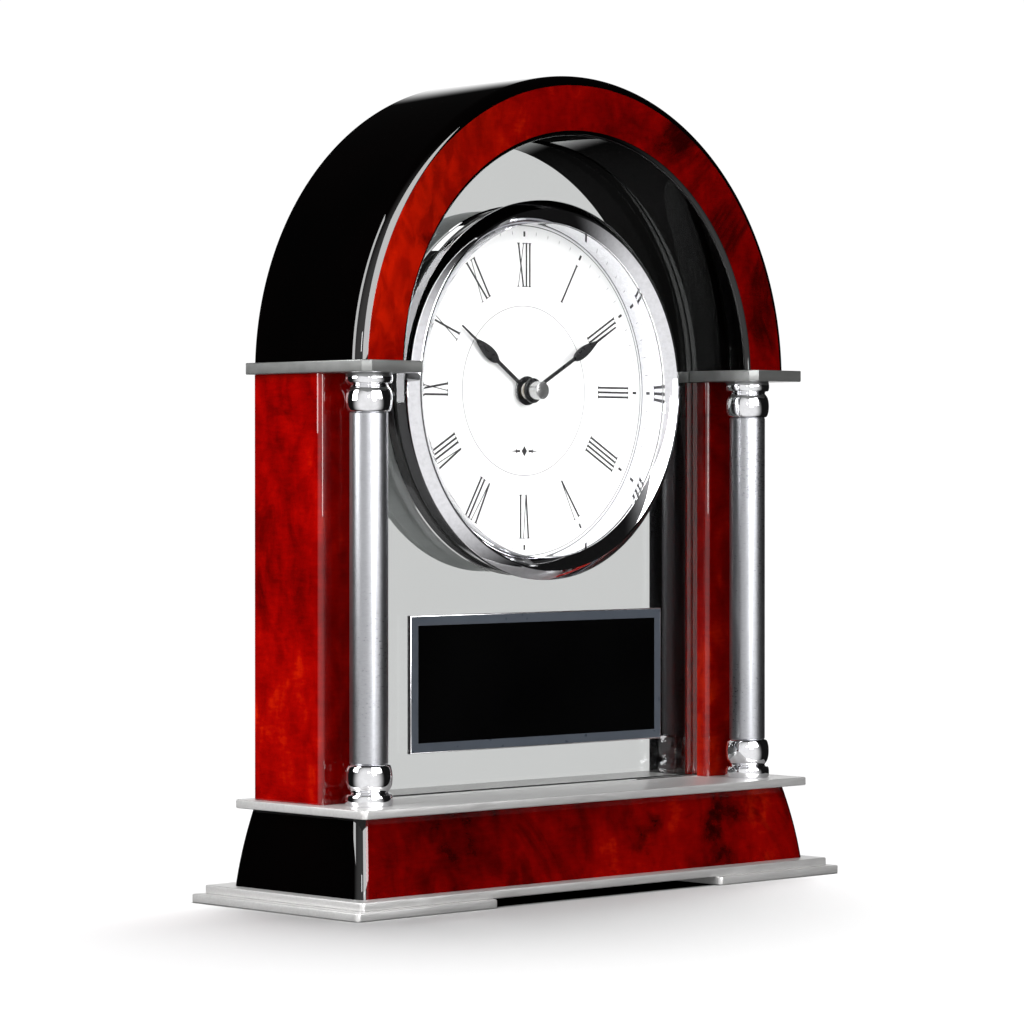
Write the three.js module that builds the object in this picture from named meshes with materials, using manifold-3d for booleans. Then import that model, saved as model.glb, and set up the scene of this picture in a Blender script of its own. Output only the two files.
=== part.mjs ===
// An arched mantel clock: metal feet and plates, a wooden plinth, two wooden pillars with free-standing
// metal columns in front of them, a wooden arch, a clear glass panel that closes the opening, and a round
// quartz clock insert that sits in a hole in the glass.
// Millimetres. +Z is up, -Y is the front, and the origin is the middle of the base, on the surface below it.
import * as THREE from "three";
import { mergeVertices } from "three/addons/utils/BufferGeometryUtils.js";
import Module from "manifold-3d";

const wasm = await Module();
wasm.setup();

// ---- Driving dimensions ----

const GAP = 0.3; // between a piece and the pocket cut for it
const CLEAR = 0.1; // radial running clearance of a turning piece

// The stack of plates and wood, from the surface up
const FOOT_TOP = 2.4;
const BASE_PLATE_TOP = 4.8;
const PLINTH_TOP = 26.4;
const MID_PLATE_TOP = 28.8;
const PILLAR_TOP = 146.6;
const ABACUS_TOP = 149.8;

// Half widths along X, and front and back along Y
const FOOT = { half: 95.8, inner: 44.3, front: -35.1, back: 35.1, corner: 1.5 };
const BASE_PLATE = { half: 92.6, front: -33.2, back: 33.2, corner: 1.5 };
const PLINTH_FOOT = { half: 88.5, front: -28, back: 26.4, corner: 2 };
const PLINTH_HEAD = { half: 84.8, front: -23.6, back: 23 };
const PLINTH_KICK = 1.6; // upright stretch below the sloping sides
const MID_PLATE = { half: 88.2, front: -29.2, back: 25.4, corner: 1.5 };
const PILLAR = { inner: 68, outer: 84.6, front: -7.1, back: 21.7, corner: 1.8 };
const ABACUS = { inner: 65, outer: 87.3, front: -29, back: 22.3, corner: 2.2 };

// The arch
const ARCH = { outer: 85, inner: 68, centre: 147, front: -23.6, back: 21.7, bevel: 1.5 };

// The columns and what runs through them
const COLUMN = { x: 75.4, y: -16.5 };
const SHAFT = { radius: 5.3, bottom: 40.2, top: 135.9 };
const RING = { radius: 6.6, neck: 4.9, baseHeight: 3.4, headHeight: 2.6 };
const BALL_RADIUS = 6.5;
const ROD = { radius: 2, headRadius: 3.6, headHeight: 3, top: 160 };

// The glass panel, held in a groove of the pillars and the arch
const GLASS = { front: -2.5, back: 5.5, groove: 3, hole: 53 };

// The plaque
const PLAQUE = { half: 50, bottom: 41, top: 79.6, front: -5.5, thickness: 1.6, tapeInset: 4 };

// The clock insert, turned about an axis along Y
const DIAL_CENTRE = 143.1;
const DIAL = { radius: 48.4, front: 1.6, thickness: 0.5, hole: 3.3 };
const BEZEL = { inner: 48, crest: 51.5, outer: 54.4, back: -3.3, crestFront: -11.2, side: 53.4 };
const LENS = { radius: 48.2, front: -8.7, thickness: 1.5 };
const DRUM = { radius: 52.3, wall: 0.8, front: -3.2, back: 21.5 };
const GASKET = { inner: 52.5, outer: 52.8, flange: 0.7 };
const REFLECTOR_WALL = 0.6;
const CASE_BACK = { radius: 51.2, front: 15.4, thickness: 1.2, window: 28.5 };

// The hands
const HAND_THICKNESS = 0.4;
const HOUR_HAND = { plane: 0.2, hub: 4.2, hole: 2.5, reach: 31.3, leafStart: 14.6, leafEnd: 23, leafHalf: 1.75 };
const MINUTE_HAND = { plane: -2.3, hub: 3.6, hole: 1.4, reach: 38.7, leafStart: 19.4, leafEnd: 28, leafHalf: 1.6 };
const HAND_TAPER = { stem: 0.55, tip: 0.22 };
const HAND_NUT = { radius: 2.6, front: -6.2, back: -2.4, bore: 1.4, boreEnd: -5.3 };
const MINUTE_ANGLE = THREE.MathUtils.degToRad(60.8); // clockwise from twelve
const HOUR_ANGLE = THREE.MathUtils.degToRad(300) + MINUTE_ANGLE / 12;

// The movement behind the dial
const MOVEMENT = { half: 28, front: 2.5, split: 9.6, back: 18.4, wall: 1.4, floor: 1.2, corner: 2.5 };
const BATTERY = { radius: 7.1, half: 24.4, y: 11.05, z: -19, nub: 2.7, nubLength: 1.2 };
const BAY_TOP = -11.2;
const BUSHING = { radius: 3.2, bore: 2.5, front: 0.8 };
const DIAL_NUT = { radius: 3.8, front: 0.9 };

// Gears: the pitch diameter is the number of teeth times the module
const MOTION_MODULE = 0.42;
const TRAIN_MODULE = 0.3;
const WHEEL_THICKNESS = 0.6;
const ARBOR_RADIUS = 0.5;
const KNOB_ARBOR_RADIUS = 0.7;
const TOOTH = { addendum: 0.7, dedendum: 1.05, rootHalf: 0.19, tipHalf: 0.08 };

const SEGMENTS = { large: 48, medium: 20, small: 14, tiny: 8 };

// ---- Materials ----

const finish = (color, roughness, metalness) => new THREE.MeshStandardMaterial({ color, roughness, metalness });
const MATERIALS = {
  satin: () => finish(0xc8c8c6, 0.35, 1),
  chrome: () => finish(0xe6e6e8, 0.06, 1),
  brushed: () => finish(0xc9cace, 0.28, 1),
  redLacquer: () => finish(0x9a1208, 0.08, 0),
  blackLacquer: () => finish(0x0a0606, 0.05, 0),
  glass: () => finish(0xdfe8e4, 0.02, 0),
  plaque: () => finish(0x101114, 0.3, 0.3),
  tape: () => finish(0xd8d8d4, 0.9, 0),
  dial: () => finish(0xf7f7f5, 0.5, 0),
  black: () => finish(0x0c0c0d, 0.35, 0),
  caseMetal: () => finish(0xa9adaf, 0.3, 1),
  rubber: () => finish(0x1b1e1c, 0.8, 0),
  steel: () => finish(0x9a9a9c, 0.35, 1),
  brass: () => finish(0xb89a4e, 0.3, 1),
  whitePlastic: () => finish(0xe9e7e0, 0.45, 0),
  copper: () => finish(0xb06a38, 0.35, 1),
  board: () => finish(0x1f5a33, 0.5, 0),
  cell: () => finish(0x3a3c40, 0.35, 0.4),
};

const clock = new THREE.Group();

function add(name, material, geometry) {
  const mesh = new THREE.Mesh(geometry, MATERIALS[material]());
  mesh.name = name;
  clock.add(mesh);
}

// ---- Joining and cutting ----

function toSolid(geometry) {
  const bare = geometry.clone();
  bare.deleteAttribute("normal");
  bare.deleteAttribute("uv");
  const merged = mergeVertices(bare, 1e-5);
  const vertProperties = new Float32Array(merged.attributes.position.array);
  const triVerts = new Uint32Array(merged.index.array);
  return new wasm.Manifold(new wasm.Mesh({ numProp: 3, vertProperties, triVerts }));
}

function toGeometry(solid) {
  const mesh = solid.getMesh();
  const geometry = new THREE.BufferGeometry();
  geometry.setAttribute("position", new THREE.BufferAttribute(mesh.vertProperties, 3));
  geometry.setIndex(new THREE.BufferAttribute(mesh.triVerts, 1));
  return geometry;
}

const cut = (geometry, ...tools) =>
  toGeometry(tools.reduce((solid, tool) => solid.subtract(toSolid(tool)), toSolid(geometry)));

const join = (geometry, ...others) =>
  toGeometry(others.reduce((solid, other) => solid.add(toSolid(other)), toSolid(geometry)));

// ---- Shapes ----

// A box between two corners
function box(x0, x1, y0, y1, z0, z1) {
  const geometry = new THREE.BoxGeometry(x1 - x0, y1 - y0, z1 - z0);
  return geometry.translate((x0 + x1) / 2, (y0 + y1) / 2, (z0 + z1) / 2);
}

// A rectangle with rounded corners; radii run anticlockwise from the lowest corner
function roundedRectangle(x0, x1, y0, y1, radii) {
  const [a, b, c, d] = radii;
  const shape = new THREE.Shape();
  shape.moveTo(x0 + a, y0);
  shape.lineTo(x1 - b, y0);
  shape.absarc(x1 - b, y0 + b, b, -Math.PI / 2, 0);
  shape.lineTo(x1, y1 - c);
  shape.absarc(x1 - c, y1 - c, c, 0, Math.PI / 2);
  shape.lineTo(x0 + d, y1);
  shape.absarc(x0 + d, y1 - d, d, Math.PI / 2, Math.PI);
  shape.lineTo(x0, y0 + a);
  shape.absarc(x0 + a, y0 + a, a, Math.PI, Math.PI * 1.5);
  return shape;
}

// A shape drawn in plan, from height z0 to z1
function upright(shape, z0, z1, curveSegments = 2) {
  const geometry = new THREE.ExtrudeGeometry(shape, { depth: z1 - z0, bevelEnabled: false, curveSegments });
  return geometry.translate(0, 0, z0);
}

// A shape drawn as seen from the front, from y0 back to y1
function faceOn(shape, y0, y1, curveSegments = 8, bevel = 0) {
  const geometry = new THREE.ExtrudeGeometry(shape, {
    depth: y1 - y0 - 2 * bevel,
    bevelEnabled: bevel > 0,
    bevelThickness: bevel,
    bevelSize: bevel,
    bevelOffset: -bevel,
    bevelSegments: 1,
    curveSegments,
  });
  return geometry.rotateX(Math.PI / 2).translate(0, y1 - bevel, 0);
}

// A piece turned about a line along Y through (x, z); the profile is [radius, y] pairs, back to front
function turned(profile, segments, x = 0, z = DIAL_CENTRE) {
  const points = profile.map(([radius, y]) => new THREE.Vector2(radius, y));
  return new THREE.LatheGeometry(points, segments).translate(x, 0, z);
}

// A piece turned about a vertical line; the profile is [radius, z] pairs, from the top down
function turnedUpright(profile, segments, x, y) {
  const points = profile.map(([radius, z]) => new THREE.Vector2(radius, z));
  return new THREE.LatheGeometry(points, segments).rotateX(Math.PI / 2).translate(x, y, 0);
}

const rod = (radius, y0, y1, segments, x = 0, z = DIAL_CENTRE) =>
  turned([[0, y0], [radius, y0], [radius, y1], [0, y1]], segments, x, z);

const tube = (inner, outer, y0, y1, segments, x = 0, z = DIAL_CENTRE) =>
  turned([[inner, y0], [outer, y0], [outer, y1], [inner, y1], [inner, y0]], segments, x, z);

const pin = (radius, z0, z1, segments, x, y) =>
  turnedUpright([[0, z0], [radius, z0], [radius, z1], [0, z1]], segments, x, y);

const sides = [
  ["left", -1],
  ["right", 1],
];

// ---- Base ----

const SCREW = { radius: 1.7, head: 3.2, headDepth: 1.8, start: 0.2, top: 16, x: 60, y: 22 };
const PILLAR_SCREW = { radius: 2.2, head: 4.2, headDepth: 3, start: BASE_PLATE_TOP + GAP, top: 48, y: 8 };
const DOWEL = { radius: 3, bottom: 138, top: 159, y: 12 };
const pillarX = (PILLAR.inner + PILLAR.outer) / 2;

// Countersunk screw standing on its head
function screw({ radius, head, headDepth, top }, z0, x, y) {
  const profile = [[0, z0], [head, z0], [radius, z0 + headDepth], [radius, top], [0, top]];
  return turnedUpright(profile, SEGMENTS.tiny, x, y);
}

// The hole for such a screw, open below its head
function screwHole({ radius, head, headDepth, top }, z0, x, y) {
  const profile = [[0, z0 - 8], [head + GAP, z0 - 8], [head + GAP, z0], [radius + GAP, z0 + headDepth]];
  profile.push([radius + GAP, top + GAP], [0, top + GAP]);
  return turnedUpright(profile, SEGMENTS.tiny, x, y);
}

const screwPlaces = sides.flatMap(([side, sx]) => [
  { name: side + "_front", x: sx * SCREW.x, y: -SCREW.y },
  { name: side + "_back", x: sx * SCREW.x, y: SCREW.y },
]);

const footScrewHoles = () => screwPlaces.map(({ x, y }) => screwHole(SCREW, SCREW.start, x, y));

function platePlan({ half, front, back, corner }) {
  return roundedRectangle(-half, half, front, back, [corner, corner, corner, corner]);
}

for (const [side, sx] of sides) {
  const [x0, x1] = sx < 0 ? [-FOOT.half, -FOOT.inner] : [FOOT.inner, FOOT.half];
  const corners = Array(4).fill(FOOT.corner);
  const plan = roundedRectangle(x0, x1, FOOT.front, FOOT.back, corners);
  add("foot_" + side, "satin", cut(upright(plan, 0, FOOT_TOP), ...footScrewHoles()));
}

const basePlate = upright(platePlan(BASE_PLATE), FOOT_TOP, BASE_PLATE_TOP);
add("base_plate", "satin", cut(basePlate, ...footScrewHoles()));

for (const { name, x, y } of screwPlaces) {
  add("foot_screw_" + name, "steel", screw(SCREW, SCREW.start, x, y));
}

const rodHoles = (z0, z1, radius = ROD.radius + GAP) =>
  sides.map(([, sx]) => pin(radius, z0, z1, SEGMENTS.small, sx * COLUMN.x, COLUMN.y));

const pillarScrewHoles = () =>
  sides.map(([, sx]) => screwHole(PILLAR_SCREW, PILLAR_SCREW.start, sx * pillarX, PILLAR_SCREW.y));

const rodHeadTop = BASE_PLATE_TOP + GAP + ROD.headHeight;
const rodHeadPockets = () => rodHoles(0, rodHeadTop + GAP, ROD.headRadius + GAP);

// The plinth: an upright kick, then sides that lean in to the head
function plinthBody() {
  const kickTop = BASE_PLATE_TOP + PLINTH_KICK;
  const plan = platePlan(PLINTH_FOOT);
  const geometry = new THREE.ExtrudeGeometry(plan, {
    depth: PLINTH_TOP - BASE_PLATE_TOP,
    steps: 2,
    bevelEnabled: false,
    curveSegments: 2,
  });
  geometry.translate(0, 0, BASE_PLATE_TOP);
  const position = geometry.attributes.position;
  const footMiddle = (PLINTH_FOOT.front + PLINTH_FOOT.back) / 2;
  const headMiddle = (PLINTH_HEAD.front + PLINTH_HEAD.back) / 2;
  const depthRatio = (PLINTH_HEAD.back - PLINTH_HEAD.front) / (PLINTH_FOOT.back - PLINTH_FOOT.front);
  for (let i = 0; i < position.count; i++) {
    const z = position.getZ(i);
    const onHead = z > PLINTH_TOP - GAP;
    const onFoot = z < BASE_PLATE_TOP + GAP;
    if (onHead) {
      position.setX(i, position.getX(i) * (PLINTH_HEAD.half / PLINTH_FOOT.half));
      position.setY(i, headMiddle + (position.getY(i) - footMiddle) * depthRatio);
    } else if (!onFoot) {
      position.setZ(i, kickTop);
    }
  }
  return geometry;
}

add("plinth", "redLacquer", cut(
  plinthBody(),
  ...rodHoles(0, MID_PLATE_TOP),
  ...pillarScrewHoles(),
  ...rodHeadPockets(),
  ...footScrewHoles(),
));

add("mid_plate", "satin", cut(
  upright(platePlan(MID_PLATE), PLINTH_TOP, MID_PLATE_TOP),
  ...rodHoles(0, PILLAR_TOP),
  ...pillarScrewHoles(),
));

// ---- Pillars, columns and abacus plates ----

// The pillar's plan, with a groove for the glass in its inner side
function pillarPlan(sx) {
  const { inner, outer, front, back, corner } = PILLAR;
  const grooveEnd = inner + GLASS.groove;
  const shape = new THREE.Shape();
  shape.moveTo(inner + corner, front);
  shape.lineTo(outer - corner, front);
  shape.absarc(outer - corner, front + corner, corner, -Math.PI / 2, 0);
  shape.lineTo(outer, back - corner);
  shape.absarc(outer - corner, back - corner, corner, 0, Math.PI / 2);
  shape.lineTo(inner + corner, back);
  shape.absarc(inner + corner, back - corner, corner, Math.PI / 2, Math.PI);
  shape.lineTo(inner, GLASS.back + GAP);
  shape.lineTo(grooveEnd, GLASS.back + GAP);
  shape.lineTo(grooveEnd, GLASS.front - GAP);
  shape.lineTo(inner, GLASS.front - GAP);
  shape.absarc(inner + corner, front + corner, corner, Math.PI, Math.PI * 1.5);
  const points = shape.getPoints(3);
  return new THREE.Shape(points.map((p) => new THREE.Vector2(sx * p.x, p.y)));
}

// Profile of a column's end: a flat ring against the plate, a neck, then a ball under the shaft.
// Heights run away from the plate.
function columnEnd(ringHeight, length) {
  const bore = ROD.radius + GAP;
  const ballHeight = length - ringHeight;
  const profile = [[bore, 0], [RING.radius - 0.5, 0], [RING.radius, ringHeight * 0.3], [RING.radius, ringHeight * 0.7]];
  profile.push([RING.radius - 0.6, ringHeight]);
  profile.push([RING.neck, ringHeight + 0.15]);
  const steps = 4;
  for (let i = 0; i <= steps; i++) {
    const t = i / steps;
    const swell = Math.sin(Math.PI * (0.12 + 0.76 * t));
    const radius = RING.neck + (BALL_RADIUS - RING.neck) * ((swell - 0.37) / 0.63);
    profile.push([Math.max(radius, RING.neck), ringHeight + 0.3 + t * (ballHeight - 0.3)]);
  }
  profile.push([bore, length]);
  profile.push([bore, 0]);
  return profile;
}

for (const [side, sx] of sides) {
  const x = sx * COLUMN.x;
  const dowelHole = pin(DOWEL.radius + GAP, DOWEL.bottom - GAP, DOWEL.top + GAP, SEGMENTS.tiny, sx * pillarX, DOWEL.y);

  add("pillar_" + side, "redLacquer", cut(
    upright(pillarPlan(sx), MID_PLATE_TOP, PILLAR_TOP),
    ...pillarScrewHoles(),
    dowelHole,
  ));
  add("pillar_dowel_" + side, "brass", pin(DOWEL.radius, DOWEL.bottom, DOWEL.top, SEGMENTS.tiny, sx * pillarX, DOWEL.y));
  add("pillar_screw_" + side, "steel", screw(PILLAR_SCREW, PILLAR_SCREW.start, sx * pillarX, PILLAR_SCREW.y));

  const baseLength = SHAFT.bottom - MID_PLATE_TOP;
  const baseProfile = columnEnd(RING.baseHeight, baseLength).map(([r, h]) => [r, MID_PLATE_TOP + h]);
  add("column_base_" + side, "chrome", turnedUpright(baseProfile, SEGMENTS.medium, x, COLUMN.y));

  const bore = ROD.radius + GAP;
  const shaftProfile = [[bore, SHAFT.bottom], [SHAFT.radius, SHAFT.bottom], [SHAFT.radius, SHAFT.top],
    [bore, SHAFT.top], [bore, SHAFT.bottom]];
  add("column_shaft_" + side, "brushed", turnedUpright(shaftProfile, SEGMENTS.medium, x, COLUMN.y));

  const headLength = PILLAR_TOP - SHAFT.top;
  const headProfile = columnEnd(RING.headHeight, headLength).map(([r, h]) => [r, PILLAR_TOP - h]).reverse();
  add("column_capital_" + side, "chrome", turnedUpright(headProfile, SEGMENTS.medium, x, COLUMN.y));

  const rodFoot = BASE_PLATE_TOP + GAP;
  const rodProfile = [[0, rodFoot], [ROD.headRadius, rodFoot], [ROD.headRadius, rodHeadTop],
    [ROD.radius, rodHeadTop], [ROD.radius, ROD.top], [0, ROD.top]];
  add("tie_rod_" + side, "steel", turnedUpright(rodProfile, SEGMENTS.tiny, x, COLUMN.y));

  const { inner, outer, front, back, corner } = ABACUS;
  const [x0, x1] = sx < 0 ? [-outer, -inner] : [inner, outer];
  const radii = sx < 0 ? [corner, corner, 1, corner] : [corner, corner, corner, 1];
  const glassSlot = box(
    Math.min(0, sx * (PILLAR.inner + GLASS.groove)), Math.max(0, sx * (PILLAR.inner + GLASS.groove)),
    GLASS.front - GAP, GLASS.back + GAP, PILLAR_TOP - 1, ABACUS_TOP + 1);
  add("abacus_" + side, "satin", cut(
    upright(roundedRectangle(x0, x1, front, back, radii), PILLAR_TOP, ABACUS_TOP),
    glassSlot, dowelHole, ...rodHoles(0, ROD.top),
  ));
}

// ---- Arch and glass ----

// Half ring that stands on the abacus plates
function archOutline() {
  const { outer, inner, centre } = ARCH;
  const outerStart = Math.asin((ABACUS_TOP - centre) / outer);
  const innerStart = Math.asin((ABACUS_TOP - centre) / inner);
  const shape = new THREE.Shape();
  shape.absarc(0, centre, outer, outerStart, Math.PI - outerStart);
  shape.absarc(0, centre, inner, Math.PI - innerStart, innerStart, true);
  return shape;
}

// Round-topped outline as wide as the groove allows
function glassOutline(halfWidth, bottom) {
  const shape = new THREE.Shape();
  shape.moveTo(-halfWidth, bottom);
  shape.lineTo(halfWidth, bottom);
  shape.lineTo(halfWidth, ARCH.centre);
  shape.absarc(0, ARCH.centre, halfWidth, 0, Math.PI);
  return shape;
}

const ARCH_SEGMENTS = 16;
const grooveRadius = ARCH.inner + GLASS.groove;
const groove = faceOn(glassOutline(grooveRadius, MID_PLATE_TOP), GLASS.front - GAP, GLASS.back + GAP, ARCH_SEGMENTS);
const archDowelHoles = sides.map(([, sx]) =>
  pin(DOWEL.radius + GAP, DOWEL.bottom, DOWEL.top + GAP, SEGMENTS.tiny, sx * pillarX, DOWEL.y));

add("arch", "blackLacquer", cut(
  faceOn(archOutline(), ARCH.front, ARCH.back, ARCH_SEGMENTS, ARCH.bevel),
  groove,
  ...archDowelHoles,
  ...rodHoles(0, ROD.top + GAP),
));

const glassShape = glassOutline(grooveRadius - GAP, MID_PLATE_TOP);
const insertHole = new THREE.Path();
insertHole.absarc(0, DIAL_CENTRE, GLASS.hole, 0, Math.PI * 2, true);
glassShape.holes.push(insertHole);
add("glass_panel", "glass", faceOn(glassShape, GLASS.front, GLASS.back, SEGMENTS.large / 2));

// ---- Plaque ----

const tape = PLAQUE.tapeInset;
const plaqueBack = PLAQUE.front + PLAQUE.thickness;
add("plaque", "plaque", box(-PLAQUE.half, PLAQUE.half, PLAQUE.front, plaqueBack, PLAQUE.bottom, PLAQUE.top));
add("plaque_tape", "tape", box(-PLAQUE.half + tape, PLAQUE.half - tape, plaqueBack, GLASS.front,
  PLAQUE.bottom + tape, PLAQUE.top - tape));

// ---- Clock insert ----

const lensBack = LENS.front + LENS.thickness;
const reflectorOuter = BEZEL.inner + REFLECTOR_WALL;

// The bezel: an inner slope up to a crest, an outer slope, a side that flares to the glass, and a flange
add("bezel", "chrome", turned([
  [BEZEL.inner, LENS.front - 0.1],
  [BEZEL.crest - 0.9, BEZEL.crestFront + 0.15],
  [BEZEL.crest, BEZEL.crestFront],
  [BEZEL.crest + 0.7, BEZEL.crestFront + 0.2],
  [BEZEL.outer, BEZEL.crestFront + 2.4],
  [BEZEL.outer, BEZEL.crestFront + 3.4],
  [BEZEL.side, BEZEL.back],
  [DRUM.radius - DRUM.wall + 0.1, BEZEL.back],
  [reflectorOuter + GAP, BEZEL.back],
  [reflectorOuter + GAP, LENS.front - 0.1],
  [BEZEL.inner, LENS.front - 0.1],
], SEGMENTS.large));

add("lens", "glass", rod(LENS.radius, LENS.front, lensBack, SEGMENTS.large));
add("reflector_ring", "chrome", tube(BEZEL.inner, reflectorOuter, lensBack, DIAL.front, SEGMENTS.large));

const dialBack = DIAL.front + DIAL.thickness;
add("dial", "dial", tube(DIAL.hole, DIAL.radius, DIAL.front, dialBack, SEGMENTS.large));

// A thin sleeve through the glass with a flange in front of it
add("case_gasket", "rubber", turned([
  [GASKET.inner, GLASS.front - GASKET.flange],
  [BEZEL.side, GLASS.front - GASKET.flange],
  [BEZEL.side, GLASS.front],
  [GASKET.outer, GLASS.front],
  [GASKET.outer, GLASS.back],
  [GASKET.inner, GLASS.back],
  [GASKET.inner, GLASS.front - GASKET.flange],
], SEGMENTS.large));

add("case_drum", "caseMetal", tube(DRUM.radius - DRUM.wall, DRUM.radius, DRUM.front, DRUM.back, SEGMENTS.large));

// The back plate has a square window for the movement
const backOutline = new THREE.Shape();
backOutline.absarc(0, DIAL_CENTRE, CASE_BACK.radius, 0, Math.PI * 2);
const w = CASE_BACK.window;
backOutline.holes.push(roundedRectangle(-w, w, DIAL_CENTRE - w, DIAL_CENTRE + w, Array(4).fill(MOVEMENT.corner)));
add("case_back", "black", faceOn(backOutline, CASE_BACK.front, CASE_BACK.front + CASE_BACK.thickness, 10));

// ---- Hands ----

// A slender hand with a leaf near its end, drawn pointing up, then turned clockwise to its angle
function handShape({ hub, hole, reach, leafStart, leafEnd, leafHalf }, angle) {
  const { stem, tip } = HAND_TAPER;
  const joinAngle = Math.asin(stem / hub);
  const shape = new THREE.Shape();
  shape.moveTo(stem, hub * Math.cos(joinAngle));
  shape.lineTo(stem, leafStart);
  shape.quadraticCurveTo(leafHalf, leafStart + 0.3, leafHalf, leafStart + 2.6);
  shape.quadraticCurveTo(leafHalf, leafStart + 4.6, stem * 0.7, leafEnd);
  shape.lineTo(tip, reach);
  shape.lineTo(-tip, reach);
  shape.lineTo(-stem * 0.7, leafEnd);
  shape.quadraticCurveTo(-leafHalf, leafStart + 4.6, -leafHalf, leafStart + 2.6);
  shape.quadraticCurveTo(-leafHalf, leafStart + 0.3, -stem, leafStart);
  shape.lineTo(-stem, hub * Math.cos(joinAngle));
  shape.absarc(0, 0, hub, Math.PI / 2 + joinAngle, Math.PI * 2.5 - joinAngle);
  const bore = new THREE.Path();
  bore.absarc(0, 0, hole, 0, Math.PI * 2, true);
  const turn = (p) => p.rotateAround(new THREE.Vector2(0, 0), -angle).add(new THREE.Vector2(0, DIAL_CENTRE));
  const turnedShape = new THREE.Shape(shape.getPoints(5).map(turn));
  turnedShape.holes.push(new THREE.Path(bore.getPoints(7).map(turn)));
  return turnedShape;
}

add("hour_hand", "black", faceOn(handShape(HOUR_HAND, HOUR_ANGLE), HOUR_HAND.plane, HOUR_HAND.plane + HAND_THICKNESS));
add("minute_hand", "black",
  faceOn(handShape(MINUTE_HAND, MINUTE_ANGLE), MINUTE_HAND.plane, MINUTE_HAND.plane + HAND_THICKNESS));
add("hand_nut", "satin", turned([
  [0, HAND_NUT.front],
  [HAND_NUT.radius, HAND_NUT.front],
  [HAND_NUT.radius, HAND_NUT.back],
  [HAND_NUT.bore, HAND_NUT.back],
  [HAND_NUT.bore, HAND_NUT.boreEnd],
  [0, HAND_NUT.boreEnd],
], SEGMENTS.medium));

// ---- Gears ----

// Outline of a gear in the XZ plane; phase is the angle of one tooth's middle, from +X towards +Z
function gearOutline(teeth, module, phase, x, z) {
  const pitch = (Math.PI * 2) / teeth;
  const tipRadius = (teeth * module) / 2 + TOOTH.addendum * module;
  const rootRadius = (teeth * module) / 2 - TOOTH.dedendum * module;
  const points = [];
  for (let i = 0; i < teeth; i++) {
    const middle = phase + i * pitch;
    const corners = [
      [rootRadius, -TOOTH.rootHalf],
      [tipRadius, -TOOTH.tipHalf],
      [tipRadius, TOOTH.tipHalf],
      [rootRadius, TOOTH.rootHalf],
    ];
    for (const [radius, share] of corners) {
      const angle = middle + share * pitch;
      points.push(new THREE.Vector2(x + radius * Math.cos(angle), z + radius * Math.sin(angle)));
    }
  }
  return new THREE.Shape(points);
}

// The phase that puts gear b's gap over gear a's tooth on the line from a to b
function meshedPhase(a, b, lineAngle) {
  const offset = ((lineAngle - a.phase) * a.teeth) / (Math.PI * 2);
  return lineAngle + Math.PI - ((0.5 - offset) * Math.PI * 2) / b.teeth;
}

const gear = (g, module, y, x, z, thickness = WHEEL_THICKNESS) =>
  faceOn(gearOutline(g.teeth, module, g.phase, x, z), y, y + thickness);

// Places of the arbors, from the centre of the dial
function step(from, distance, degrees) {
  const angle = THREE.MathUtils.degToRad(degrees);
  return { x: from.x + distance * Math.cos(angle), z: from.z + distance * Math.sin(angle), angle };
}
const centre = { x: 0, z: DIAL_CENTRE };

// Motion work: cannon pinion 10 to minute wheel 30, minute pinion 8 to hour wheel 32
const cannonPinion = { teeth: 10, phase: 0 };
const minuteWheel = { teeth: 30 };
const minutePinion = { teeth: 8, phase: 0 };
const hourWheel = { teeth: 32 };
const motionDistance = ((cannonPinion.teeth + minuteWheel.teeth) / 2) * MOTION_MODULE;
const minutePlace = step(centre, motionDistance, 180);
minuteWheel.phase = meshedPhase(cannonPinion, minuteWheel, minutePlace.angle);
hourWheel.phase = meshedPhase(minutePinion, hourWheel, 0);

// Going train: rotor 6 to 36, 6 to 30, 6 to 45, 6 to 48
const PINION_TEETH = 6;
const centreWheel = { teeth: 48, phase: 0 };
const thirdPinion = { teeth: PINION_TEETH };
const thirdWheel = { teeth: 45, phase: 0 };
const fourthPinion = { teeth: PINION_TEETH };
const fourthWheel = { teeth: 30, phase: 0 };
const stepPinion = { teeth: PINION_TEETH };
const stepWheel = { teeth: 36, phase: 0 };
const rotorPinion = { teeth: PINION_TEETH };
const reach = (wheel) => ((wheel.teeth + PINION_TEETH) / 2) * TRAIN_MODULE;
const thirdPlace = step(centre, reach(centreWheel), 40);
const fourthPlace = step(thirdPlace, reach(thirdWheel), 80);
const stepPlace = step(fourthPlace, reach(fourthWheel), 170);
const rotorPlace = step(stepPlace, reach(stepWheel), 180);
thirdPinion.phase = meshedPhase(centreWheel, thirdPinion, thirdPlace.angle);
fourthPinion.phase = meshedPhase(thirdWheel, fourthPinion, fourthPlace.angle);
stepPinion.phase = meshedPhase(fourthWheel, stepPinion, stepPlace.angle);
rotorPinion.phase = meshedPhase(stepWheel, rotorPinion, rotorPlace.angle);

// Layers along Y, from the dial backwards
const LAYER = { hour: 4.2, minute: 5.6, centre: 7.0, third: 8.2, fourth: 9.4, step: 10.6, magnet: 11.8 };
const PINION_THICKNESS = 0.9;

const hourPipe = { inner: 1.8 + CLEAR, outer: BUSHING.bore - CLEAR };
const MINUTE_PIPE_RADIUS = 1.8;
const MINUTE_TIP = { radius: 1.3, front: -5.1 };

add("hour_wheel", "whitePlastic", cut(
  join(
    gear(hourWheel, MOTION_MODULE, LAYER.hour, centre.x, centre.z),
    rod(hourPipe.outer, HOUR_HAND.plane - 0.2, LAYER.hour + WHEEL_THICKNESS, SEGMENTS.medium),
  ),
  rod(hourPipe.inner, HOUR_HAND.plane - 1, LAYER.hour + 2, SEGMENTS.medium),
));

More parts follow.
